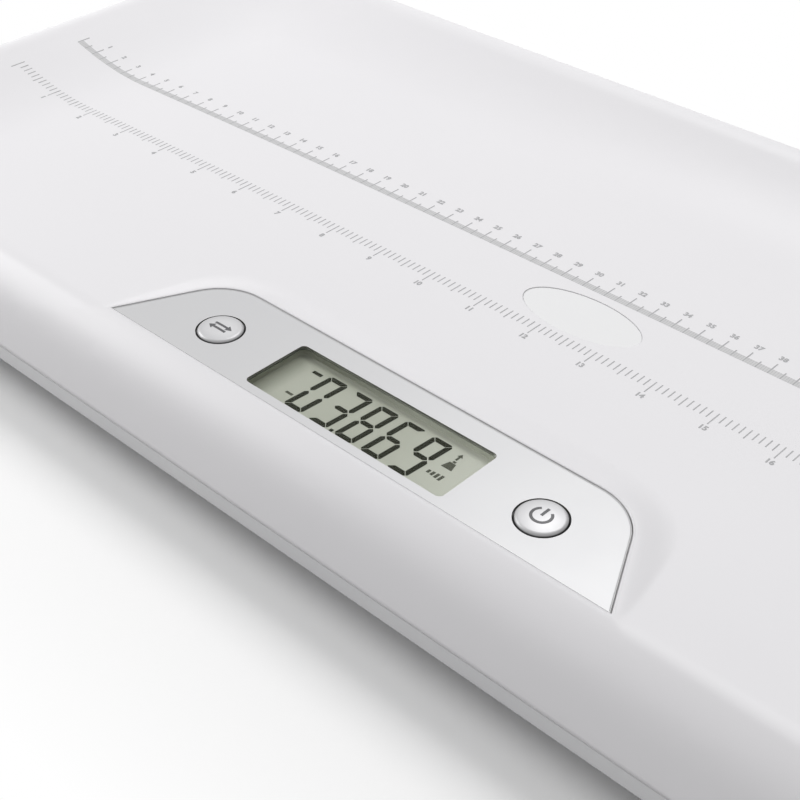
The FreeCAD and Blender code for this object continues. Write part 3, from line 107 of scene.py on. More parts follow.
# Moulded skin: broad patches of a second tone, a fine grain and a little change of gloss.
skin_group, given, out = new_group(
    "moulded_skin",
    [
        ("Colour", "Color", (0.8, 0.8, 0.8, 1)), ("Patch Colour", "Color", (0.75, 0.75, 0.75, 1)),
        ("Patch Scale", "Float", 30), ("Grain Scale", "Float", 3000),
        ("Roughness", "Float", 0.4), ("Roughness Spread", "Float", 0.1),
    ],
    [("Colour", "Color"), ("Roughness", "Float"), ("Height", "Float")],
)
place = object_place(skin_group)
patches = noise(skin_group, place, given["Patch Scale"], Detail=3, Roughness=0.55)
grain = noise(skin_group, place, given["Grain Scale"], Detail=2)
patch_share = stretched(skin_group, patches, 0.35, 0.65)
gloss_shift = computed(
    skin_group, "MULTIPLY", stretched(skin_group, patches, 0.3, 0.7, -0.5, 0.5), given["Roughness Spread"],
)
end_group(
    skin_group, out, Colour=mixed(skin_group, patch_share, given["Colour"], given["Patch Colour"]),
    Roughness=computed(skin_group, "ADD", given["Roughness"], gloss_shift), Height=grain,
)

# Edge tone, partly wear and partly painted light: where the surface turns sharply it shows a second tone,
# a painted highlight where that tone is lighter and painted shade where it is darker. The mask
# grows as the normal softened over the edge's width turns away from the true one.
STILL_FLAT = 0.98
FULL_EDGE = 0.75
edge_group, given, out = new_group(
    "edge_wear_and_highlight",
    [
        ("Colour", "Color", (0.8, 0.8, 0.8, 1)), ("Edge Colour", "Color", (0.9, 0.9, 0.9, 1)),
        ("Edge Width", "Float", 0.0005), ("Amount", "Float", 0.5),
    ],
    [("Colour", "Color")],
)
softened = add_node(edge_group, "ShaderNodeBevel", {"Radius": given["Edge Width"]}, samples=4).outputs[0]
true_normal = add_node(edge_group, "ShaderNodeNewGeometry").outputs["Normal"]
likeness = vector_computed(edge_group, "DOT_PRODUCT", softened, true_normal, output="Value")
edge_mask = computed(
    edge_group, "MULTIPLY", stretched(edge_group, likeness, STILL_FLAT, FULL_EDGE), given["Amount"],
)
end_group(edge_group, out, Colour=mixed(edge_group, edge_mask, given["Colour"], given["Edge Colour"]))


def new_material(name):
    """A material with its node tree and its shader."""
    material = bpy.data.materials.new(name)
    material.use_nodes = True
    return material, material.node_tree, material.node_tree.nodes["Principled BSDF"]


def coat(tree, shader, colour, roughness, height, depth):
    """Feeds a shader its colour, its roughness and a relief of the given depth."""
    tree.links.new(colour, shader.inputs["Base Color"])
    tree.links.new(roughness, shader.inputs["Roughness"])
    bump = add_node(tree, "ShaderNodeBump", {"Height": height, "Distance": depth})
    tree.links.new(bump.outputs[0], shader.inputs["Normal"])


def moulding(
    name, colour, patch, roughness, patch_scale=25, grain_scale=3500, grain_depth=0.00001,
    spread=0.08, edge=None, edge_width=0.0004, edge_amount=0.5, **sockets,
):
    """A moulded plastic or rubber finish; sockets are the shader's own constants."""
    material, tree, shader = new_material(name)
    skin = add_node(tree, "ShaderNodeGroup", {
        "Colour": (*colour, 1), "Patch Colour": (*patch, 1), "Patch Scale": patch_scale,
        "Grain Scale": grain_scale, "Roughness": roughness, "Roughness Spread": spread,
    }, node_tree=skin_group)
    tone = skin.outputs["Colour"]
    if edge:
        tone = add_node(tree, "ShaderNodeGroup", {
            "Colour": tone, "Edge Colour": (*edge, 1), "Edge Width": edge_width, "Amount": edge_amount,
        }, node_tree=edge_group).outputs["Colour"]
    coat(tree, shader, tone, skin.outputs["Roughness"], skin.outputs["Height"], grain_depth)
    for label, value in sockets.items():
        shader.inputs[label.replace("_", " ")].default_value = value
    return material


def finish_nodes(material, *names):
    """Puts one finish on frame nodes."""
    for name in names:
        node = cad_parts[name]
        node.data.materials.clear()
        node.data.materials.append(material)


CORNERS = ("front_left", "front_right", "rear_left", "rear_right")
rubber = moulding(
    "pad_rubber", (0.035, 0.035, 0.037), (0.05, 0.05, 0.05), 0.8, patch_scale=60,
    grain_scale=1500, grain_depth=0.00005, edge=(0.09, 0.09, 0.09),
)
foot_plastic = moulding(
    "foot_plastic", (0.52, 0.53, 0.54), (0.49, 0.5, 0.51), 0.5, grain_depth=0.00002, edge=(0.6, 0.6, 0.6),
)
finish_nodes(rubber, *("foot_pad_" + corner for corner in CORNERS))
finish_nodes(foot_plastic, *("foot_" + corner for corner in CORNERS))

# ---------------------------------------------------------------- load cells
# Each foot works on a stamped spring-steel plate, slotted so that its tongue
# bends, with a foil gauge glued on. A nylon frame screwed to the base holds it.

# Drawn metal: fine streaks along one axis that shift tone, gloss and height.
metal_group, given, out = new_group(
    "drawn_metal",
    [
        ("Colour", "Color", (0.6, 0.6, 0.6, 1)), ("Streak Colour", "Color", (0.5, 0.5, 0.5, 1)),
        ("Along", "Vector", (1, 1, 1)), ("Streak Scale", "Float", 800), ("Roughness", "Float", 0.3),
    ],
    [("Colour", "Color"), ("Roughness", "Float"), ("Height", "Float")],
)
along = vector_computed(metal_group, "MULTIPLY", object_place(metal_group), given["Along"])
streaks = noise(metal_group, along, given["Streak Scale"], Detail=4)
streak_share = stretched(metal_group, streaks, 0.3, 0.7)
end_group(
    metal_group, out, Colour=mixed(metal_group, streak_share, given["Colour"], given["Streak Colour"]),
    Roughness=computed(
        metal_group, "ADD", given["Roughness"], stretched(metal_group, streaks, 0.3, 0.7, -0.05, 0.05),
    ),
    Height=streaks,
)


STREAK_DEPTH = 0.000004


def metal(name, colour, streak, roughness, along=(1, 1, 1), scale=800):
    """A drawn or plated metal finish; along squeezes the streaks out along one axis."""
    material, tree, shader = new_material(name)
    drawn = add_node(tree, "ShaderNodeGroup", {
        "Colour": (*colour, 1), "Streak Colour": (*streak, 1), "Along": along, "Streak Scale": scale,
        "Roughness": roughness,
    }, node_tree=metal_group)
    coat(tree, shader, drawn.outputs["Colour"], drawn.outputs["Roughness"], drawn.outputs["Height"], STREAK_DEPTH)
    shader.inputs["Metallic"].default_value = 1.0
    return material


spring_steel = metal("spring_steel", (0.56, 0.55, 0.53), (0.42, 0.41, 0.4), 0.34, along=(0.05, 1, 1), scale=1200)
finish_nodes(spring_steel, *("load_cell_" + corner for corner in CORNERS))
nylon = moulding("frame_nylon", (0.68, 0.68, 0.66), (0.64, 0.64, 0.62), 0.5, edge=(0.76, 0.76, 0.75))
finish_nodes(nylon, *("cell_frame_" + corner for corner in CORNERS), "lead_clips")

# the gauges' amber film carries a fine folded grid of foil
gauge_film, tree, shader = new_material("gauge_film")
grid = add_node(tree, "ShaderNodeTexWave", {
    "Vector": object_place(tree), "Scale": 420, "Distortion": 0.2,
}, bands_direction="Y").outputs["Fac"]
foil = stretched(tree, grid, 0.45, 0.6)
foil_tone = mixed(tree, foil, (0.42, 0.17, 0.03, 1), (0.62, 0.5, 0.38, 1))
coat(tree, shader, foil_tone, stretched(tree, grid, 0.45, 0.6, 0.45, 0.25), foil, 0.00001)
finish_nodes(gauge_film, "strain_gauges")

zinc_steel = metal("zinc_steel", (0.6, 0.6, 0.58), (0.47, 0.47, 0.46), 0.3, scale=1500)
finish_nodes(zinc_steel, "frame_screws")

# ---------------------------------------------------------------- leads
# Thin stranded leads in soft vinyl run from each gauge to the board, clipped to
# the base floor on the way. A black and a red one bring the battery current.

grey_vinyl = moulding("grey_vinyl", (0.3, 0.3, 0.31), (0.26, 0.26, 0.27), 0.45, grain_depth=0.000006)
black_vinyl = moulding("black_vinyl", (0.02, 0.02, 0.02), (0.03, 0.03, 0.03), 0.42, grain_depth=0.000006)
red_vinyl = moulding("red_vinyl", (0.42, 0.02, 0.02), (0.35, 0.015, 0.015), 0.42, grain_depth=0.000006)
finish_nodes(grey_vinyl, *("cell_lead_" + corner for corner in CORNERS))
finish_nodes(black_vinyl, "battery_lead_minus")
finish_nodes(red_vinyl, "battery_lead_plus")

# ---------------------------------------------------------------- base cover
# A shallow pan moulded in the same white plastic as the tray, a shade greyer,
# with the battery well, seats for the load cells and bosses for seven screws.

# the base's lighter edge tone is a painted highlight along its edges
base_plastic = moulding(
    "base_plastic", (0.68, 0.68, 0.69), (0.65, 0.65, 0.665), 0.42, patch_scale=14,
    grain_scale=2600, grain_depth=0.00002, edge=(0.8, 0.8, 0.81), edge_amount=0.4,
)
finish_nodes(base_plastic, "base_cover")
finish_nodes(zinc_steel, "base_screws")

# ---------------------------------------------------------------- batteries
# Four small dry cells lie side by side, each the other way round from its
# neighbour, between sprung nickel contacts under a hinged door.

nickel = metal("nickel_plate", (0.66, 0.64, 0.6), (0.52, 0.5, 0.47), 0.22, scale=1800)
finish_nodes(nickel, "battery_terminals", "battery_springs")

# each can's bare base and its bare cap end, its coloured collar and how sharply they meet
BARE_BASE = 0.0012
BARE_CAP = 0.00192
COLLAR = 0.011
PRINT_BLUR = 0.0001


def battery_wrap(name, low, high, facing):
    """A printed wrap in two tones; both ends of the can stay bare metal."""
    material, tree, shader = new_material(name)
    place = object_place(tree)
    x = add_node(tree, "ShaderNodeSeparateXYZ", {0: place}).outputs["X"]
    length = high.x - low.x
    start, end = (low.x, high.x) if facing > 0 else (high.x, low.x)
    along = stretched(tree, x, start, end, 0, length)
    scuffs = noise(tree, place, 260, Detail=4)
    dark = mixed(tree, scuffs, (0.018, 0.02, 0.024, 1), (0.035, 0.036, 0.04, 1))
    warm = mixed(tree, scuffs, (0.5, 0.2, 0.06, 1), (0.42, 0.16, 0.05, 1))
    in_collar = stretched(tree, along, length - COLLAR, length - COLLAR + PRINT_BLUR)
    at_base = stretched(tree, along, BARE_BASE, BARE_BASE + PRINT_BLUR, 1, 0)
    at_cap = stretched(tree, along, length - BARE_CAP, length - BARE_CAP + PRINT_BLUR)
    bare = computed(tree, "MAXIMUM", at_base, at_cap)
    wrap = mixed(tree, in_collar, dark, warm)
    tree.links.new(mixed(tree, bare, wrap, (0.62, 0.61, 0.58, 1)), shader.inputs["Base Color"])
    tree.links.new(bare, shader.inputs["Metallic"])
    tree.links.new(stretched(tree, scuffs, 0.3, 0.7, 0.24, 0.36), shader.inputs["Roughness"])
    return material


for number in range(1, 5):
    name = f"battery_{number}"
    low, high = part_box(name)
    finish_nodes(battery_wrap(f"battery_wrap_{number}", low, high, 1 if number % 2 else -1), name)

# ---------------------------------------------------------------- battery door
# The door is a flush plate of the base's plastic, hinged on two tabs and held by
# a folded spring latch. Ribs beside the latch give the thumb its grip.

door_plastic = moulding(
    "door_plastic", (0.675, 0.675, 0.685), (0.645, 0.645, 0.66), 0.42, patch_scale=18,
    grain_scale=2600, grain_depth=0.00002, edge=(0.82, 0.82, 0.83),
)
finish_nodes(door_plastic, "battery_door")


def piece_tree(name, sizes):
    """A Geometry Nodes tree with named inputs: the tree, its inputs' sockets and its output node."""
    tree = bpy.data.node_groups.new(name, "GeometryNodeTree")
    for label, kind, value in sizes:
        socket = tree.interface.new_socket(name=label, in_out="INPUT", socket_type="NodeSocket" + kind)
        if value is not None:
            socket.default_value = value
    tree.interface.new_socket(name="Geometry", in_out="OUTPUT", socket_type="NodeSocketGeometry")
    return tree, tree.nodes.new("NodeGroupInput").outputs, tree.nodes.new("NodeGroupOutput")


def end_tree(tree, copies, material, out):
    """Ends a tree with its copies made real and given their material."""
    real = add_node(tree, "GeometryNodeRealizeInstances", {0: copies})
    coated = add_node(tree, "GeometryNodeSetMaterial", {"Geometry": real.outputs[0], "Material": material})
    tree.links.new(coated.outputs[0], out.inputs[0])


def evaluated_mesh(name, tree, sizes):
    """Runs a Geometry Nodes tree with named sizes and gives the plain mesh."""
    holder = bpy.data.objects.new(name, bpy.data.meshes.new(name))
    bpy.context.scene.collection.objects.link(holder)
    modifier = holder.modifiers.new(name, "NODES")
    modifier.node_group = tree
    for item in tree.interface.items_tree:
        if item.item_type == "SOCKET" and item.in_out == "INPUT" and item.name in sizes:
            modifier[item.identifier] = sizes[item.name]
    shape = bpy.data.meshes.new_from_object(holder.evaluated_get(bpy.context.evaluated_depsgraph_get()))
    bpy.data.objects.remove(holder)
    return shape


def new_piece(name, mesh, material, body):
    """A finished piece of its own, which rides on a body and takes a slot's finish."""
    piece = bpy.data.objects.new(name, mesh)
    bpy.context.scene.collection.objects.link(piece)
    mesh.materials.clear()
    mesh.materials.append(material)
    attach(piece, body)


def thumb_rib_tree():
    """Geometry Nodes: a row of round ribs stepped along x, each lying along y."""
    tree, given, out = piece_tree("thumb_ribs", [
        ("Count", "Int", 6), ("Start", "Vector", (0, 0, 0)), ("Step", "Vector", (0.0018, 0, 0)),
        ("Length", "Float", 0.016), ("Radius", "Float", 0.0006), ("Plastic", "Material", None),
    ])
    row = add_node(tree, "GeometryNodeMeshLine", {
        "Count": given["Count"], "Start Location": given["Start"], "Offset": given["Step"],
    }, mode="OFFSET")
    rib = add_node(tree, "GeometryNodeMeshCylinder", {
        "Vertices": 16, "Radius": given["Radius"], "Depth": given["Length"],
    })
    ribs = add_node(tree, "GeometryNodeInstanceOnPoints", {
        "Points": row.outputs[0], "Instance": rib.outputs[0], "Rotation": (math.pi / 2, 0, 0),
    })
    end_tree(tree, ribs.outputs[0], given["Plastic"], out)
    return tree


def middle_of(name):
    """The middle of a frame node's box."""
    low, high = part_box(name)
    return (low + high) / 2


RIB_COUNT = 6
RIB_RADIUS = 0.0006
RIB_PROUD = 0.0004
RIB_INSET = 0.0155
RIB_PITCH = 0.0018
RIB_LENGTH = 0.016
door_low, door_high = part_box("battery_door")
first_rib = (door_high.x - RIB_INSET, middle_of("battery_door").y, door_low.z - RIB_PROUD + RIB_RADIUS)
thumb_ribs = evaluated_mesh("thumb_ribs", thumb_rib_tree(), {
    "Count": RIB_COUNT, "Start": first_rib, "Step": (RIB_PITCH, 0, 0), "Length": RIB_LENGTH, "Radius": RIB_RADIUS,
    "Plastic": door_plastic,
})
new_piece("thumb_ribs", thumb_ribs, door_plastic, "door")

# ---------------------------------------------------------------- tray
# One large moulding in smooth white plastic: the flat deck, its soft rise to the
# rim, the lip that rolls over it and the low housing for the control panel.

tray_plastic = moulding(
    "tray_plastic", (0.8, 0.79, 0.808), (0.787, 0.778, 0.797), 0.42, patch_scale=5,
    grain_scale=2200, grain_depth=0.000006, spread=0.06,
)

# every edge of the mould is blended softly, but for the crisp recess of the badge; the
# distance from the badge's middle is counted in its own half sizes
BLEND_RADIUS = 0.003
CRISP_RADIUS = 0.0002
CRISP_REACH = 1.3
BLEND_REACH = 1.6
badge_middle = middle_of("badge_plate")
badge_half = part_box("badge_plate")[1] - badge_middle
tree = tray_plastic.node_tree
aside = vector_computed(tree, "SUBTRACT", object_place(tree), badge_middle)
aside = vector_computed(tree, "MULTIPLY", aside, (1 / badge_half.x, 1 / badge_half.y, 0))
aside = vector_computed(tree, "LENGTH", aside, output="Value")
blend = stretched(tree, aside, CRISP_REACH, BLEND_REACH, CRISP_RADIUS, BLEND_RADIUS)
rounded = add_node(tree, "ShaderNodeBevel", {"Radius": blend}, samples=8)
relief = tree.nodes["Principled BSDF"].inputs["Normal"].links[0].from_node
tree.links.new(rounded.outputs[0], relief.inputs["Normal"])
finish_nodes(tray_plastic, "tray_shell")

# ---------------------------------------------------------------- rulers
# Two rulers are screen printed in grey ink across the deck, one in inches near
# the display and one in centimetres behind it. Both bow slightly with the mould.

# how far ink stands over what it is printed on and reaches into it, how far strokes and
# figures stand over it, and half the thickness of a print before it is laid on
INK_LIFT = 0.00004
INK_SINK = 0.00003
STROKE_LIFT = 0.000064
FLAT_HALF = 0.00005
# the x where both rulers start, their bow and their lengths
RULER_ZERO = -0.2998
RULER_BOW = 0.057
INCH = 0.0254
CENTIMETRE = 0.01
INCH_TENTHS = 236
RULER_CENTIMETRES = 60
# the y of each row of strokes and of its figures
INCH_FOOT = -0.0242
INCH_FIGURES = -0.0341
CENTIMETRE_FOOT = 0.0064
CENTIMETRE_FIGURES = 0.0171
# the band along the centimetre strokes, and the figures, which fill a share of the type's height
BAND_WIDTH = 0.0031
BAND_STEPS = 240
FIGURE_HEIGHT = 0.0024
FIGURE_BOLDNESS = 0.00013
CAPITAL_SHARE = 0.73

ruler_ink = moulding(
    "ruler_ink", (0.36, 0.36, 0.37), (0.42, 0.42, 0.43), 0.5, patch_scale=300, grain_depth=0.000003,
)


def surface_of(name):
    """A frame node's surface, to lay prints on."""
    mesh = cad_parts[name].data
    return BVHTree.FromPolygons([v.co for v in mesh.vertices], [p.vertices for p in mesh.polygons])


def lay_on(mesh, surface, lift=INK_LIFT):
    """Drops a flat mesh onto a surface: its upper side stands lift above it, its lower side sinks in."""
    for vertex in mesh.vertices:
        spot = surface.ray_cast(Vector((vertex.co.x, vertex.co.y, 1)), Vector((0, 0, -1)))[0]
        vertex.co.z = spot.z + (lift if vertex.co.z > 0 else -INK_SINK)
    mesh.update()


def graduation_tree():
    """Geometry Nodes: a row of upright strokes along x, every fifth and tenth one longer."""
    tree, given, out = piece_tree("graduation", [
        ("Count", "Int", 10), ("First", "Float", 0), ("Pitch", "Float", 0.001), ("Base", "Float", 0),
        ("Bow", "Float", 0), ("Side", "Float", 1), ("Short", "Float", 0.003), ("Middle", "Float", 0.004),
        ("Long", "Float", 0.006), ("Fine Stroke", "Float", 0.0003), ("Stroke", "Float", 0.0004),
        ("Ink", "Material", None),
    ])

    def combine(operation, *values):
        """A math node's result in this tree."""
        return computed(tree, operation, *values)

    line = add_node(tree, "GeometryNodeMeshLine", {"Count": given["Count"]}, mode="OFFSET")
    index = add_node(tree, "GeometryNodeInputIndex").outputs[0]
    x = combine("ADD", given["First"], combine("MULTIPLY", index, given["Pitch"]))
    is_tenth = combine("LESS_THAN", combine("MODULO", index, 10), 0.5)
    is_fifth = combine("LESS_THAN", combine("MODULO", index, 5), 0.5)
    fifth_extra = combine("SUBTRACT", given["Middle"], given["Short"])
    tenth_extra = combine("SUBTRACT", given["Long"], given["Middle"])
    reach = combine("ADD", given["Short"], combine("MULTIPLY", is_fifth, fifth_extra))
    reach = combine("ADD", reach, combine("MULTIPLY", is_tenth, tenth_extra))
    base = combine("SUBTRACT", given["Base"], combine("MULTIPLY", given["Bow"], combine("MULTIPLY", x, x)))
    y = combine("ADD", base, combine("MULTIPLY", given["Side"], combine("MULTIPLY", reach, 0.5)))
    spot = add_node(tree, "ShaderNodeCombineXYZ", {0: x, 1: y}).outputs[0]
    placed = add_node(tree, "GeometryNodeSetPosition", {"Geometry": line.outputs[0], "Position": spot})
    extra = combine("SUBTRACT", given["Stroke"], given["Fine Stroke"])
    stroke = combine("ADD", given["Fine Stroke"], combine("MULTIPLY", is_fifth, extra))
    size = add_node(tree, "ShaderNodeCombineXYZ", {0: stroke, 1: reach, 2: 2 * FLAT_HALF}).outputs[0]
    cube = add_node(tree, "GeometryNodeMeshCube")
    strokes = add_node(tree, "GeometryNodeInstanceOnPoints", {
        "Points": placed.outputs[0], "Instance": cube.outputs[0], "Scale": size,
    })
    end_tree(tree, strokes.outputs[0], given["Ink"], out)
    return tree


graduation = graduation_tree()


def finished_mesh(name, shape):
    """A shape's plain mesh, with every face turned outwards."""
    bmesh.ops.recalc_face_normals(shape, faces=shape.faces)
    mesh = bpy.data.meshes.new(name)
    shape.to_mesh(mesh)
    return mesh


def join_rings(shape, ring, after):
    """The four faces between two rings of four points."""
    for side in range(4):
        shape.faces.new((ring[side], ring[side - 1], after[side - 1], after[side]))


def bowed(base, x):
    """The y of a printed line at x: base in the middle, and a little forward towards both ends."""
    return base - RULER_BOW * x * x


def figures(name, count, pitch, base):
    """One mesh of a ruler's printed numbers, from 1 up to count."""
    joined = bmesh.new()
    for number in range(1, count + 1):
        curve = bpy.data.curves.new(name, "FONT")
        curve.body = str(number)
        curve.size = FIGURE_HEIGHT / CAPITAL_SHARE
        curve.align_x = "CENTER"
        curve.align_y = "CENTER"
        curve.extrude = FLAT_HALF
        curve.offset = FIGURE_BOLDNESS
        curve.resolution_u = 3
        holder = bpy.data.objects.new(name, curve)
        bpy.context.scene.collection.objects.link(holder)
        shape = bpy.data.meshes.new_from_object(holder.evaluated_get(bpy.context.evaluated_depsgraph_get()))
        bpy.data.objects.remove(holder)
        x = RULER_ZERO + number * pitch
        shape.transform(Matrix.Translation((x, bowed(base, x), 0)))
        joined.from_mesh(shape)
    bmesh.ops.remove_doubles(joined, verts=joined.verts, dist=1e-7)
    return finished_mesh(name, joined)


def band_mesh(name, length, base, width):
    """A thin closed strip printed along a ruler's foot."""
    shape = bmesh.new()
    rings = []
    for i in range(BAND_STEPS + 1):
        x = RULER_ZERO + length * i / BAND_STEPS
        near, far = bowed(base, x), bowed(base, x) + width
        rings.append([shape.verts.new((x, y, z)) for y, z in (
            (near, -FLAT_HALF), (far, -FLAT_HALF), (far, FLAT_HALF), (near, FLAT_HALF))])
    for ring, after in zip(rings, rings[1:]):
        join_rings(shape, ring, after)
    shape.faces.new(rings[0])
    shape.faces.new(rings[-1][::-1])
    return finished_mesh(name, shape)


# the feet of the centimetre strokes stand in a paler band
band_ink = moulding(
    "band_ink", (0.59, 0.588, 0.595), (0.57, 0.568, 0.575), 0.5, patch_scale=200, grain_depth=0.000003,
)
centimetre_band = band_mesh("centimetre_band", RULER_CENTIMETRES * CENTIMETRE, CENTIMETRE_FOOT, BAND_WIDTH)
tray_surface = surface_of("tray_shell")
lay_on(centimetre_band, tray_surface)
new_piece("centimetre_band", centimetre_band, band_ink, "scale")

inch_strokes = evaluated_mesh("inch_strokes", graduation, {
    "Count": INCH_TENTHS + 1, "First": RULER_ZERO, "Pitch": INCH / 10, "Base": INCH_FOOT, "Bow": RULER_BOW,
    "Side": -1.0, "Short": 0.0044, "Middle": 0.0056, "Long": 0.0074, "Fine Stroke": 0.0004, "Stroke": 0.0004,
    "Ink": ruler_ink,
})
centimetre_strokes = evaluated_mesh("centimetre_strokes", graduation, {
    "Count": 10 * RULER_CENTIMETRES + 1, "First": RULER_ZERO, "Pitch": CENTIMETRE / 10,
    "Base": CENTIMETRE_FOOT, "Bow": RULER_BOW, "Side": 1.0, "Short": BAND_WIDTH, "Middle": 0.0042,
    "Long": 0.0069, "Fine Stroke": 0.0001, "Stroke": 0.00045, "Ink": ruler_ink,
})
for name, mesh in (
    ("inch_strokes", inch_strokes), ("centimetre_strokes", centimetre_strokes),
    ("inch_figures", figures("inch_figures", INCH_TENTHS // 10, INCH, INCH_FIGURES)),
    ("centimetre_figures", figures(
        "centimetre_figures", RULER_CENTIMETRES - 1, CENTIMETRE, CENTIMETRE_FIGURES,
    )),
):
    lay_on(mesh, tray_surface, lift=STROKE_LIFT)
    new_piece(name, mesh, ruler_ink, "scale")

# ---------------------------------------------------------------- badge
# A bare oval plate of glossy white plastic lies in a shallow recess in the deck,
# between the rulers. A thin grey ring in the gap around it is painted shade, a soft shadow line at its edge.

badge_gloss = moulding(
    "badge_gloss", (0.84, 0.84, 0.845), (0.82, 0.82, 0.83), 0.25, patch_scale=40,
    grain_depth=0.000002, edge=(0.7, 0.7, 0.71), edge_width=0.0006, edge_amount=0.8, Coat_Weight=0.2,
)
finish_nodes(badge_gloss, "badge_plate")
glue = moulding("badge_glue", (0.58, 0.58, 0.585), (0.53, 0.53, 0.535), 0.5, patch_scale=300, grain_depth=0.00001)

# painted shade: a thin grey ring standing in the gap around the badge
SHADE_RING_WIDTH = 0.00013
SHADE_RING_DEPTH = 0.0003
SHADE_RING_GAP = 0.00001
SHADE_RING_BELOW_TOP = 0.0001
SHADE_RING_STEPS = 180
shade_ring_top = badge_middle.z + badge_half.z - SHADE_RING_BELOW_TOP
shade_ring = bmesh.new()
rings = []
for step in range(SHADE_RING_STEPS):
    angle = math.tau * step / SHADE_RING_STEPS
    edge = Vector((math.cos(angle) * badge_half.x, math.sin(angle) * badge_half.y))
    outward = Vector((math.cos(angle) / badge_half.x, math.sin(angle) / badge_half.y)).normalized()
    inner = badge_middle.xy + edge + outward * SHADE_RING_GAP
    outer = inner + outward * SHADE_RING_WIDTH
    rings.append([shade_ring.verts.new((*spot, z)) for spot, z in (
        (inner, shade_ring_top - SHADE_RING_DEPTH), (outer, shade_ring_top - SHADE_RING_DEPTH), (outer, shade_ring_top), (inner, shade_ring_top))])
for i, ring in enumerate(rings):
    join_rings(shade_ring, ring, rings[i - 1])
new_piece("badge_shade_ring", finished_mesh("badge_shade_ring", shade_ring), glue, "scale")

# ---------------------------------------------------------------- circuit board
# A green glass-fibre board hangs from four posts under the housing and carries
# the chips, capacitors, lead sockets and the two push switches.

board_mask, tree, shader = new_material("board_mask")
place = object_place(tree)
cells = add_node(
    tree, "ShaderNodeTexVoronoi", {"Vector": place, "Scale": 260, "Randomness": 0.6},
    feature="DISTANCE_TO_EDGE", distance="EUCLIDEAN",
).outputs["Distance"]
tracks = stretched(tree, cells, 0.06, 0.1, 1, 0)
weave = noise(tree, place, 1400, Detail=3)
mask_green = mixed(tree, weave, (0.012, 0.11, 0.045, 1), (0.02, 0.14, 0.06, 1))
board_tone = mixed(tree, tracks, mask_green, (0.05, 0.26, 0.1, 1))
coat(tree, shader, board_tone, stretched(tree, weave, 0.3, 0.7, 0.25, 0.4), tracks, 0.00003)
finish_nodes(board_mask, "circuit_board")
chip_epoxy = moulding("chip_epoxy", (0.02, 0.02, 0.021), (0.03, 0.03, 0.03), 0.55, edge=(0.06, 0.06, 0.06))
finish_nodes(chip_epoxy, "board_chips")
can_metal = metal("can_metal", (0.62, 0.63, 0.65), (0.5, 0.5, 0.52), 0.3, scale=1500)
finish_nodes(can_metal, "board_capacitors")
socket_nylon = moulding("socket_nylon", (0.72, 0.71, 0.66), (0.68, 0.67, 0.62), 0.45, edge=(0.8, 0.79, 0.75))
finish_nodes(socket_nylon, "lead_sockets")
switch_black = moulding("switch_black", (0.022, 0.022, 0.023), (0.03, 0.03, 0.03), 0.5, edge=(0.07, 0.07, 0.07))
finish_nodes(switch_black, "unit_switch", "power_switch")
plunger_grey = moulding("plunger_grey", (0.24, 0.24, 0.25), (0.21, 0.21, 0.22), 0.45, edge=(0.32, 0.32, 0.33))
finish_nodes(plunger_grey, "unit_plunger", "power_plunger")
finish_nodes(zinc_steel, "board_screws")

# ---------------------------------------------------------------- display
# A glass liquid crystal cell sits in a holder on the board, fed by two rubber
# contact strips. A foam gasket seals it to the clear window in the housing.

holder_plastic = moulding("holder_plastic", (0.62, 0.62, 0.6), (0.58, 0.58, 0.56), 0.5, edge=(0.7, 0.7, 0.68))
finish_nodes(holder_plastic, "display_holder")
strip_rubber = moulding("strip_rubber", (0.5, 0.3, 0.3), (0.12, 0.1, 0.1), 0.7, patch_scale=2500)
finish_nodes(strip_rubber, "contact_strips")
foam = moulding(
    "gasket_foam", (0.3, 0.308, 0.245), (0.27, 0.278, 0.22), 0.85, patch_scale=400, grain_scale=2500,
    grain_depth=0.00006,
)
finish_nodes(foam, "display_gasket")
liquid_crystal = moulding(
    "liquid_crystal", (0.505, 0.51, 0.445), (0.48, 0.485, 0.42), 0.35, patch_scale=30, grain_scale=4000,
    grain_depth=0.000004, spread=0.05, Specular_IOR_Level=0.1,
)
finish_nodes(liquid_crystal, "display_cell")


def tint(material, share, colour):
    """Mixes a second colour into a finish as the share socket says."""
    tree = material.node_tree
    base = tree.nodes["Principled BSDF"].inputs["Base Color"]
    tree.links.new(mixed(tree, share, base.links[0].from_socket, (*colour, 1)), base)


# painted shade darkens the cell along the left and rear edges of the opening, where the window's walls shade it,
# from the darkest line to the shade's end; painted light makes cell and gasket lighter towards the right end
OPENING_LEFT = -0.0444
OPENING_REAR = -0.0941
LEFT_SHADE_DARKEST = 0.001
LEFT_SHADE_END = 0.009
REAR_SHADE_DARKEST = 0.002
REAR_SHADE_END = 0.007
PAINTED_LIGHT_START = -0.03
PAINTED_LIGHT_END = 0.01
tree = liquid_crystal.node_tree
spot = add_node(tree, "ShaderNodeSeparateXYZ", {0: object_place(tree)}).outputs
left_painted_shade = stretched(tree, spot["X"], OPENING_LEFT + LEFT_SHADE_DARKEST, OPENING_LEFT + LEFT_SHADE_END, 1, 0)
rear_painted_shade = computed(
    tree, "MULTIPLY", stretched(tree, spot["Y"], OPENING_REAR - REAR_SHADE_END, OPENING_REAR - REAR_SHADE_DARKEST, 0, 0.5),
    stretched(tree, spot["X"], PAINTED_LIGHT_START, PAINTED_LIGHT_END, 1, 0),
)
painted_shade = computed(tree, "MAXIMUM", left_painted_shade, rear_painted_shade)
# painted light: the cell grows lighter towards the right end
tint(liquid_crystal, stretched(tree, spot["X"], PAINTED_LIGHT_END, -OPENING_LEFT), (0.615, 0.62, 0.555))
# painted shade along the opening's left and rear edges
tint(liquid_crystal, painted_shade, (0.3, 0.308, 0.25))
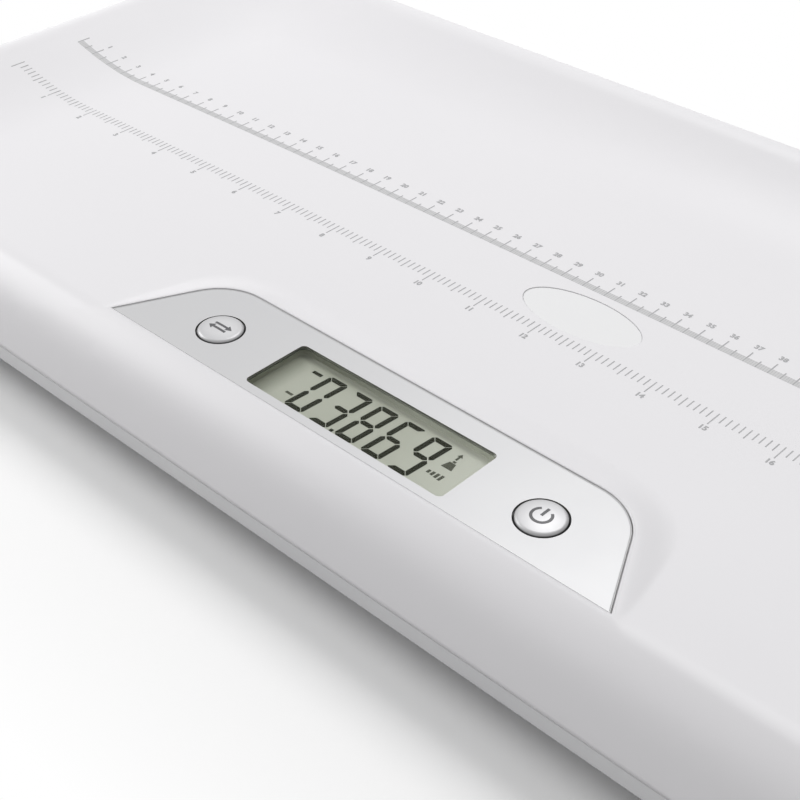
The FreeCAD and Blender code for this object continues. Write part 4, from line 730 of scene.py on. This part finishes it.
# painted light: the gasket grows lighter towards the right end
tree = foam.node_tree
spot = add_node(tree, "ShaderNodeSeparateXYZ", {0: object_place(tree)}).outputs
tint(foam, stretched(tree, spot["X"], PAINTED_LIGHT_START, PAINTED_LIGHT_END), (0.64, 0.65, 0.57))

# the segments: each digit is seven strokes with mitred ends, leaning a little to the right
DIGIT_ROW_Y = -0.1081
DIGIT_PITCH = 0.0119
FIRST_DIGIT_X = -0.0241
DIGIT_HALF_WIDTH = 0.00325
DIGIT_HALF_HEIGHT = 0.0098
STROKE = 0.00205
STROKE_GAP = 0.00015
CORNER_CUT = 0.00065
LEAN = 0.072
PRINT_SINK = 0.00002
PRINT_LIFT = 0.00004
SEGMENTS_LIT = {"0": "abcdef", "3": "abcdg", "8": "abcdefg", "6": "acdefg", "9": "abcdfg"}
display_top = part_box("display_cell")[1].z


def stroke_end(spot, inward, across, cut):
    """One end of a stroke, from its right side to its left.

    It is cut to a point, or mitred with its short side on the left (1) or the right (-1)
    and the tip of its long side cut off.
    """
    half = STROKE / 2
    if not cut:
        shoulder = spot + inward * (2 * STROKE_GAP + half)
        return [shoulder - across, spot + inward * 2 * STROKE_GAP, shoulder + across]
    tip = spot + inward * (STROKE_GAP - half) - across * cut
    heel = spot + inward * (STROKE_GAP + half) + across * cut
    points = [tip + inward * CORNER_CUT * math.sqrt(2), tip + (heel - tip).normalized() * CORNER_CUT, heel]
    return points[::cut]


def digit_outlines(figure, x):
    """The lit strokes of a figure; each has a start, an end and a cut for both."""
    w, h = DIGIT_HALF_WIDTH, DIGIT_HALF_HEIGHT
    runs = {
        "a": ((-w, h), (w, h), -1, 1), "b": ((w, h), (w, 0), -1, 0), "c": ((w, 0), (w, -h), 0, 1),
        "d": ((-w, -h), (w, -h), 1, -1), "e": ((-w, 0), (-w, -h), 0, -1), "f": ((-w, h), (-w, 0), 1, 0),
        "g": ((-w, 0), (w, 0), 0, 0),
    }
    outlines = []
    for segment in SEGMENTS_LIT[figure]:
        start, end, start_cut, end_cut = runs[segment]
        start, end = Vector(start), Vector(end)
        along = (end - start).normalized()
        across = Vector((-along.y, along.x)) * STROKE / 2
        points = stroke_end(start, along, across, start_cut) + stroke_end(end, -along, -across, end_cut)
        outlines.append([(x + p.x + LEAN * p.y, DIGIT_ROW_Y + p.y) for p in points])
    return outlines


def print_mesh(name, outlines):
    """Flat outlines raised to thin closed plates on the display cell."""
    shape = bmesh.new()
    for outline in outlines:
        upper = [shape.verts.new((x, y, display_top + PRINT_LIFT)) for x, y in outline]
        lower = [shape.verts.new((x, y, display_top - PRINT_SINK)) for x, y in outline]
        shape.faces.new(upper)
        shape.faces.new(lower[::-1])
        for i, corner in enumerate(upper):
            after = (i + 1) % len(upper)
            shape.faces.new((corner, lower[i], lower[after], upper[after]))
    return finished_mesh(name, shape)


def rectangle(x, y, length, width, lean=0.0):
    """A rectangle's outline about its middle."""
    corners = ((-length, -width), (length, -width), (length, width), (-length, width))
    return [(x + px / 2 + lean * py / 2, y + py / 2) for px, py in corners]


outlines = []
for place_number, figure in enumerate("03869"):
    outlines += digit_outlines(figure, FIRST_DIGIT_X + DIGIT_PITCH * place_number)
point = rectangle(-0.0067, -0.1182, 0.0014, 0.0014, LEAN)
long_dash = rectangle(-0.0322, -0.0996, 0.0042, 0.0015, LEAN)
segment_ink = moulding(
    "segment_ink", (0.03, 0.032, 0.022), (0.035, 0.037, 0.026), 0.35, patch_scale=200, grain_depth=0.000003,
    Specular_IOR_Level=0.0,
)
segments = print_mesh("display_segments", [*outlines, point, long_dash])
new_piece("display_segments", segments, segment_ink, "scale")

# small plain marks beside the digits
arrow = [
    (0.0331, -0.0983), (0.0342, -0.0999), (0.0335, -0.0999), (0.0335, -0.1019), (0.0327, -0.1019),
    (0.0327, -0.0999), (0.0320, -0.0999),
]
short_dash = rectangle(-0.0313, -0.1138, 0.0032, 0.0011, LEAN)
weight = [(0.0322, -0.1036), (0.0348, -0.1036), (0.0357, -0.1070), (0.0313, -0.1070)]
weight_ring = rectangle(0.0335, -0.1029, 0.0012, 0.0009)
level_bars = [rectangle(0.0304 + 0.0017 * step, -0.1117, 0.0011, 0.0016 + 0.0004 * step, LEAN) for step in range(4)]
mark_ink = moulding(
    "mark_ink", (0.075, 0.078, 0.056), (0.085, 0.088, 0.064), 0.35, patch_scale=200, grain_depth=0.000003,
    Specular_IOR_Level=0.1,
)
marks = print_mesh("display_marks", [arrow, short_dash, weight, weight_ring, *level_bars])
new_piece("display_marks", marks, mark_ink, "scale")

# the window is clear acrylic; lamps shine straight through it onto the cell
clear_acrylic, tree, shader = new_material("clear_acrylic")
shader.inputs["Transmission Weight"].default_value = 1.0
shader.inputs["IOR"].default_value = 1.12
smears = noise(tree, object_place(tree), 45, Detail=4)
tree.links.new(mixed(tree, smears, (0.97, 0.98, 0.97, 1), (0.94, 0.95, 0.94, 1)), shader.inputs["Base Color"])
tree.links.new(stretched(tree, smears, 0.35, 0.7, 0.0, 0.06), shader.inputs["Roughness"])
paths = add_node(tree, "ShaderNodeLightPath").outputs
unbent = computed(tree, "MAXIMUM", paths["Is Shadow Ray"], paths["Is Diffuse Ray"])
clear = add_node(tree, "ShaderNodeBsdfTransparent", {"Color": (0.95, 0.96, 0.95, 1)})
through = add_node(tree, "ShaderNodeMixShader", {0: unbent, 1: shader.outputs[0], 2: clear.outputs[0]})
tree.links.new(through.outputs[0], tree.nodes["Material Output"].inputs["Surface"])
finish_nodes(clear_acrylic, "display_window")

# ---------------------------------------------------------------- control panel
# A thin satin-silver face plate is bonded into the housing's recess. It has the
# window cut-out and a round hole over each button.

panel_silver = moulding(
    "panel_silver", (0.56, 0.56, 0.567), (0.545, 0.545, 0.555), 0.4, patch_scale=20, grain_scale=5000,
    grain_depth=0.000004, spread=0.04, edge=(0.75, 0.75, 0.76), edge_width=0.0003, Metallic=0.32,
)
finish_nodes(panel_silver, "control_panel")

# painted shade: the plate's cut edges and sides, which turn away from facing up, are darkened to a dark olive grey
tree = panel_silver.node_tree
facing = add_node(tree, "ShaderNodeNewGeometry").outputs["True Normal"]
upward = add_node(tree, "ShaderNodeSeparateXYZ", {0: facing}).outputs["Z"]
tint(panel_silver, stretched(tree, upward, 0.3, 0.7, 1, 0), (0.17, 0.172, 0.15))


BORDER_INSET = 0.00008
BORDER_WIDTH = 0.0004
SHARPEST_TURN = 0.3
# how level the plate's top is at least, and what lies past its outline at most
TOP_LEVEL = 0.99
SIDE_LEVEL = 0.9
NEAR_TOP = 1e-5
NEAR_FRONT = 1e-4


def border_mesh(name, plate, front):
    """A thin closed strip of painted shade inside a plate's outline, open along its front edge."""
    shape = bmesh.new()
    shape.from_mesh(plate)
    bmesh.ops.remove_doubles(shape, verts=shape.verts, dist=1e-6)
    top = max(vertex.co.z for vertex in shape.verts)
    # each point of the top's outline, and the point that follows it
    follows = {}
    for face in shape.faces:
        if face.normal.z > TOP_LEVEL and abs(face.calc_center_median().z - top) < NEAR_TOP:
            for loop in face.loops:
                others = [other for other in loop.edge.link_faces if other is not face]
                if all(other.normal.z < SIDE_LEVEL for other in others):
                    follows[loop.vert.co.to_tuple(7)] = loop.link_loop_next.vert.co.to_tuple(7)
    start = min(follows, key=lambda spot: spot[1])
    outline = [start]
    while follows[outline[-1]] != start:
        outline.append(follows[outline[-1]])
    shape.clear()
    rings = []
    count = len(outline)
    for i in range(count):
        before, here, after = (Vector(outline[j % count][:2]) for j in (i - 1, i, i + 1))
        first, second = (here - before).normalized(), (after - here).normalized()
        bisector = (first + second).normalized()
        inward = Vector((-bisector.y, bisector.x)) / max(bisector.dot(first), SHARPEST_TURN)
        near, far = here + inward * BORDER_INSET, here + inward * (BORDER_INSET + BORDER_WIDTH)
        rings.append([shape.verts.new((*side, z)) for side, z in (
            (near, top - INK_SINK), (far, top - INK_SINK), (far, top + INK_LIFT), (near, top + INK_LIFT))])
    at_front = [spot[1] < front + NEAR_FRONT for spot in outline]
    for i, ring in enumerate(rings):
        after = (i + 1) % count
        if not (at_front[i] and at_front[after]):
            join_rings(shape, ring, rings[after])
    ends = [edge for edge in shape.edges if len(edge.link_faces) == 1]
    bmesh.ops.holes_fill(shape, edges=ends, sides=4)
    loose = [vertex for vertex in shape.verts if not vertex.link_faces]
    bmesh.ops.delete(shape, geom=loose, context="VERTS")
    return finished_mesh(name, shape)


# painted shade: a grey strip inside the plate's rear and side edges widens the shadow line of the gap around it
painted_gap_shade = moulding(
    "painted_gap_shade", (0.42, 0.42, 0.425), (0.46, 0.46, 0.465), 0.45, patch_scale=200, grain_depth=0.000003,
)
border = border_mesh("panel_border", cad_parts["control_panel"].data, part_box("control_panel")[0].y)
new_piece("panel_border", border, painted_gap_shade, "scale")

# ---------------------------------------------------------------- buttons
# Two round keys in pearl silver, shallow domes that stand just proud of the
# panel. Painted shade darkens the rim and turns the skirt nearly black, for the gap
# around each key. Each key carries one dark printed sign: power, and a change of unit.

key_pearl = moulding(
    "key_pearl", (0.62, 0.618, 0.628), (0.6, 0.598, 0.608), 0.4, patch_scale=90, grain_scale=5200,
    grain_depth=0.000004, spread=0.05, Metallic=0.3,
)
# heights over the panel between which the rim and the skirt take painted shade
RIM_SHADE_TOP = 0.00108
RIM_SHADE_FOOT = 0.0004
SKIRT_SHADE_TOP = 0.00025
SKIRT_SHADE_FOOT = -0.0001
tree = key_pearl.node_tree
panel_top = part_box("control_panel")[1].z
height = add_node(tree, "ShaderNodeSeparateXYZ", {0: object_place(tree)}).outputs["Z"]
# painted shade: the rim darkens downwards, as the dome's lower side is shaded
tint(key_pearl, stretched(tree, height, panel_top + RIM_SHADE_TOP, panel_top + RIM_SHADE_FOOT, 0, 0.6), (0.3, 0.3, 0.305))
# painted shade: the skirt goes nearly black, for the shade in the gap around the key
tint(key_pearl, stretched(tree, height, panel_top + SKIRT_SHADE_TOP, panel_top + SKIRT_SHADE_FOOT), (0.06, 0.06, 0.062))
finish_nodes(key_pearl, "unit_button", "power_button")
key_ink = moulding("key_ink", (0.075, 0.075, 0.08), (0.09, 0.09, 0.095), 0.4, grain_depth=0.000003)

SIGN_STROKE = 0.001
RING_RADIUS = 0.0033
RING_GAP = 76
RING_STEPS = 40
BAR_TOP = 0.0038
BAR_FOOT = -0.0002
BAR_STEPS = 8
SHAFT_ASIDE = 0.0011
ARROW_TAIL = 0.0036
ARROW_NECK = 0.0024
ARROW_TIP = 0.0047
ARROW_HEAD_HALF = 0.0015
SHAFT_STEPS = 10


def ribbon(points):
    """Quads along a line of points: an outline for each short length of a stroke."""
    sides = []
    for i, point in enumerate(points):
        before, after = Vector(points[max(i - 1, 0)]), Vector(points[min(i + 1, len(points) - 1)])
        along = (after - before).normalized()
        across = Vector((-along.y, along.x)) * SIGN_STROKE / 2
        sides.append((Vector(point) + across, Vector(point) - across))
    return [
        [tuple(left), tuple(right), tuple(next_right), tuple(next_left)]
        for (left, right), (next_left, next_right) in zip(sides, sides[1:])
    ]


def line_points(start, end, steps):
    """Points at even steps, so that the stroke can follow the dome."""
    return [tuple(Vector(start).lerp(Vector(end), i / steps)) for i in range(steps + 1)]


def sign_mesh(name, outlines, button):
    """Joins the short lengths of a sign and lays them on the button's dome."""
    shape = bmesh.new()
    for outline in outlines:
        shape.faces.new([shape.verts.new((x, y, -FLAT_HALF)) for x, y in outline])
    bmesh.ops.remove_doubles(shape, verts=shape.verts, dist=1e-6)
    bmesh.ops.recalc_face_normals(shape, faces=shape.faces)
    if sum(face.normal.z for face in shape.faces) < 0:
        bmesh.ops.reverse_faces(shape, faces=shape.faces)
    raised = bmesh.ops.extrude_face_region(shape, geom=list(shape.faces))
    for item in raised["geom"]:
        if isinstance(item, bmesh.types.BMVert):
            item.co.z = FLAT_HALF
    mesh = finished_mesh(name, shape)
    lay_on(mesh, surface_of(button))
    return mesh


key = middle_of("power_button")
arc = []
for step in range(RING_STEPS + 1):
    angle = math.radians(90 + RING_GAP / 2 + (360 - RING_GAP) * step / RING_STEPS)
    arc.append((key.x + RING_RADIUS * math.cos(angle), key.y + RING_RADIUS * math.sin(angle)))
power_sign = ribbon(arc)
power_sign += ribbon(line_points((key.x, key.y + BAR_TOP), (key.x, key.y + BAR_FOOT), BAR_STEPS))
new_piece("power_sign", sign_mesh("power_sign", power_sign, "power_button"), key_ink, "power_key")

key = middle_of("unit_button")
swap_sign = []
for side in (-1, 1):
    shaft_y = key.y + SHAFT_ASIDE * side
    tail, neck, tip = key.x - ARROW_TAIL * side, key.x + ARROW_NECK * side, key.x + ARROW_TIP * side
    swap_sign += ribbon(line_points((tail, shaft_y), (neck, shaft_y), SHAFT_STEPS))
    swap_sign.append([(neck, shaft_y - ARROW_HEAD_HALF), (tip, shaft_y), (neck, shaft_y + ARROW_HEAD_HALF)])
new_piece("unit_sign", sign_mesh("unit_sign", swap_sign, "unit_button"), key_ink, "unit_key")

# ---------------------------------------------------------------- studio
# A plain pale floor holds the scale's shadow and turns white beyond it. One soft
# light hangs above and behind the scale, and a second stands off to the left.

FLOOR_HALF = 6.0
FLOOR_CORNERS = ((-1, -1), (1, -1), (1, 1), (-1, 1))
floor_mesh = bpy.data.meshes.new("floor")
floor_mesh.from_pydata([(FLOOR_HALF * x, FLOOR_HALF * y, 0) for x, y in FLOOR_CORNERS], [], [(0, 1, 2, 3)])
floor = bpy.data.objects.new("floor", floor_mesh)
bpy.context.scene.collection.objects.link(floor)


def seen_share(tree):
    """1 for rays from the camera, and for those that metal or glass sends on."""
    paths = add_node(tree, "ShaderNodeLightPath").outputs
    seen = computed(tree, "MAXIMUM", paths["Is Camera Ray"], paths["Is Glossy Ray"])
    return computed(tree, "MAXIMUM", seen, paths["Is Transmission Ray"])


# distances beyond the tray's outline at which the paper starts to fade and is white
FADE_START = 0.012
FADE_END = 0.1
floor_paper, tree, shader = new_material("floor_paper")
shader.inputs["Roughness"].default_value = 0.9
shader.inputs["Specular IOR Level"].default_value = 0.1
paper_tone = mixed(tree, seen_share(tree), (0.85, 0.85, 0.85, 1), (0.98, 0.98, 0.98, 1))
tree.links.new(paper_tone, shader.inputs["Base Color"])
tray_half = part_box("tray_shell")[1]
mirrored = vector_computed(tree, "ABSOLUTE", object_place(tree))
beyond = vector_computed(tree, "SUBTRACT", mirrored, (tray_half.x, tray_half.y, 0))
beyond = vector_computed(tree, "MAXIMUM", beyond, (0, 0, 0))
distance = vector_computed(tree, "LENGTH", beyond, output="Value")
whiteness = computed(tree, "MULTIPLY", stretched(tree, distance, FADE_START, FADE_END), seen_share(tree))
plain_white = add_node(tree, "ShaderNodeEmission", {"Color": (1, 1, 1, 1), "Strength": 1})
paper = add_node(tree, "ShaderNodeMixShader", {0: whiteness, 1: shader.outputs[0], 2: plain_white.outputs[0]})
tree.links.new(paper.outputs[0], tree.nodes["Material Output"].inputs["Surface"])
floor_mesh.materials.append(floor_paper)

world = bpy.data.worlds.new("studio")
bpy.context.scene.world = world
world.use_nodes = True
tree = world.node_tree
dim_light = tree.nodes["Background"]
dim_light.inputs["Color"].default_value = (1, 1, 1, 1)
dim_light.inputs["Strength"].default_value = 0.4
white = add_node(tree, "ShaderNodeBackground", {"Color": (1, 1, 1, 1), "Strength": 1})
both = add_node(tree, "ShaderNodeMixShader", {0: seen_share(tree), 1: dim_light.outputs[0], 2: white.outputs[0]})
tree.links.new(both.outputs[0], tree.nodes["World Output"].inputs["Surface"])


def lamp(name, place, length, width, power):
    """A soft rectangular light that faces the middle of the tray's footprint."""
    light = bpy.data.lights.new(name, "AREA")
    light.shape = "RECTANGLE"
    light.size, light.size_y = length, width
    light.energy = power
    holder = bpy.data.objects.new(name, light)
    bpy.context.scene.collection.objects.link(holder)
    holder.location = place
    holder.rotation_euler = (-Vector(place)).to_track_quat("-Z", "Y").to_euler()


lamp("key_light", (-0.2, 0.75, 1.4), 1.0, 0.7, 11)
lamp("side_light", (-1.35, -0.38, 0.95), 0.8, 0.8, 11)

CAMERA_PLACE = (0.26667, -0.37665, 0.3423)
CAMERA_AZIMUTH = math.radians(43.187)
CAMERA_ELEVATION = math.radians(37.244)
CAMERA_ROLL = math.radians(0.058)
camera = bpy.data.cameras.new("camera")
camera.lens = 66.06
camera.sensor_width = 36
camera.clip_start = 0.01
camera_holder = bpy.data.objects.new("camera", camera)
bpy.context.scene.collection.objects.link(camera_holder)
bpy.context.scene.camera = camera_holder
forward = Vector((
    -math.sin(CAMERA_AZIMUTH) * math.cos(CAMERA_ELEVATION),
    math.cos(CAMERA_AZIMUTH) * math.cos(CAMERA_ELEVATION),
    -math.sin(CAMERA_ELEVATION),
))
right = forward.cross(Vector((0, 0, 1))).normalized()
turn = Matrix((right, right.cross(forward), -forward)).transposed().to_4x4()
camera_holder.matrix_world = Matrix.Translation(CAMERA_PLACE) @ turn @ Matrix.Rotation(CAMERA_ROLL, 4, "Z")

bpy.context.scene.view_settings.view_transform = "Standard"
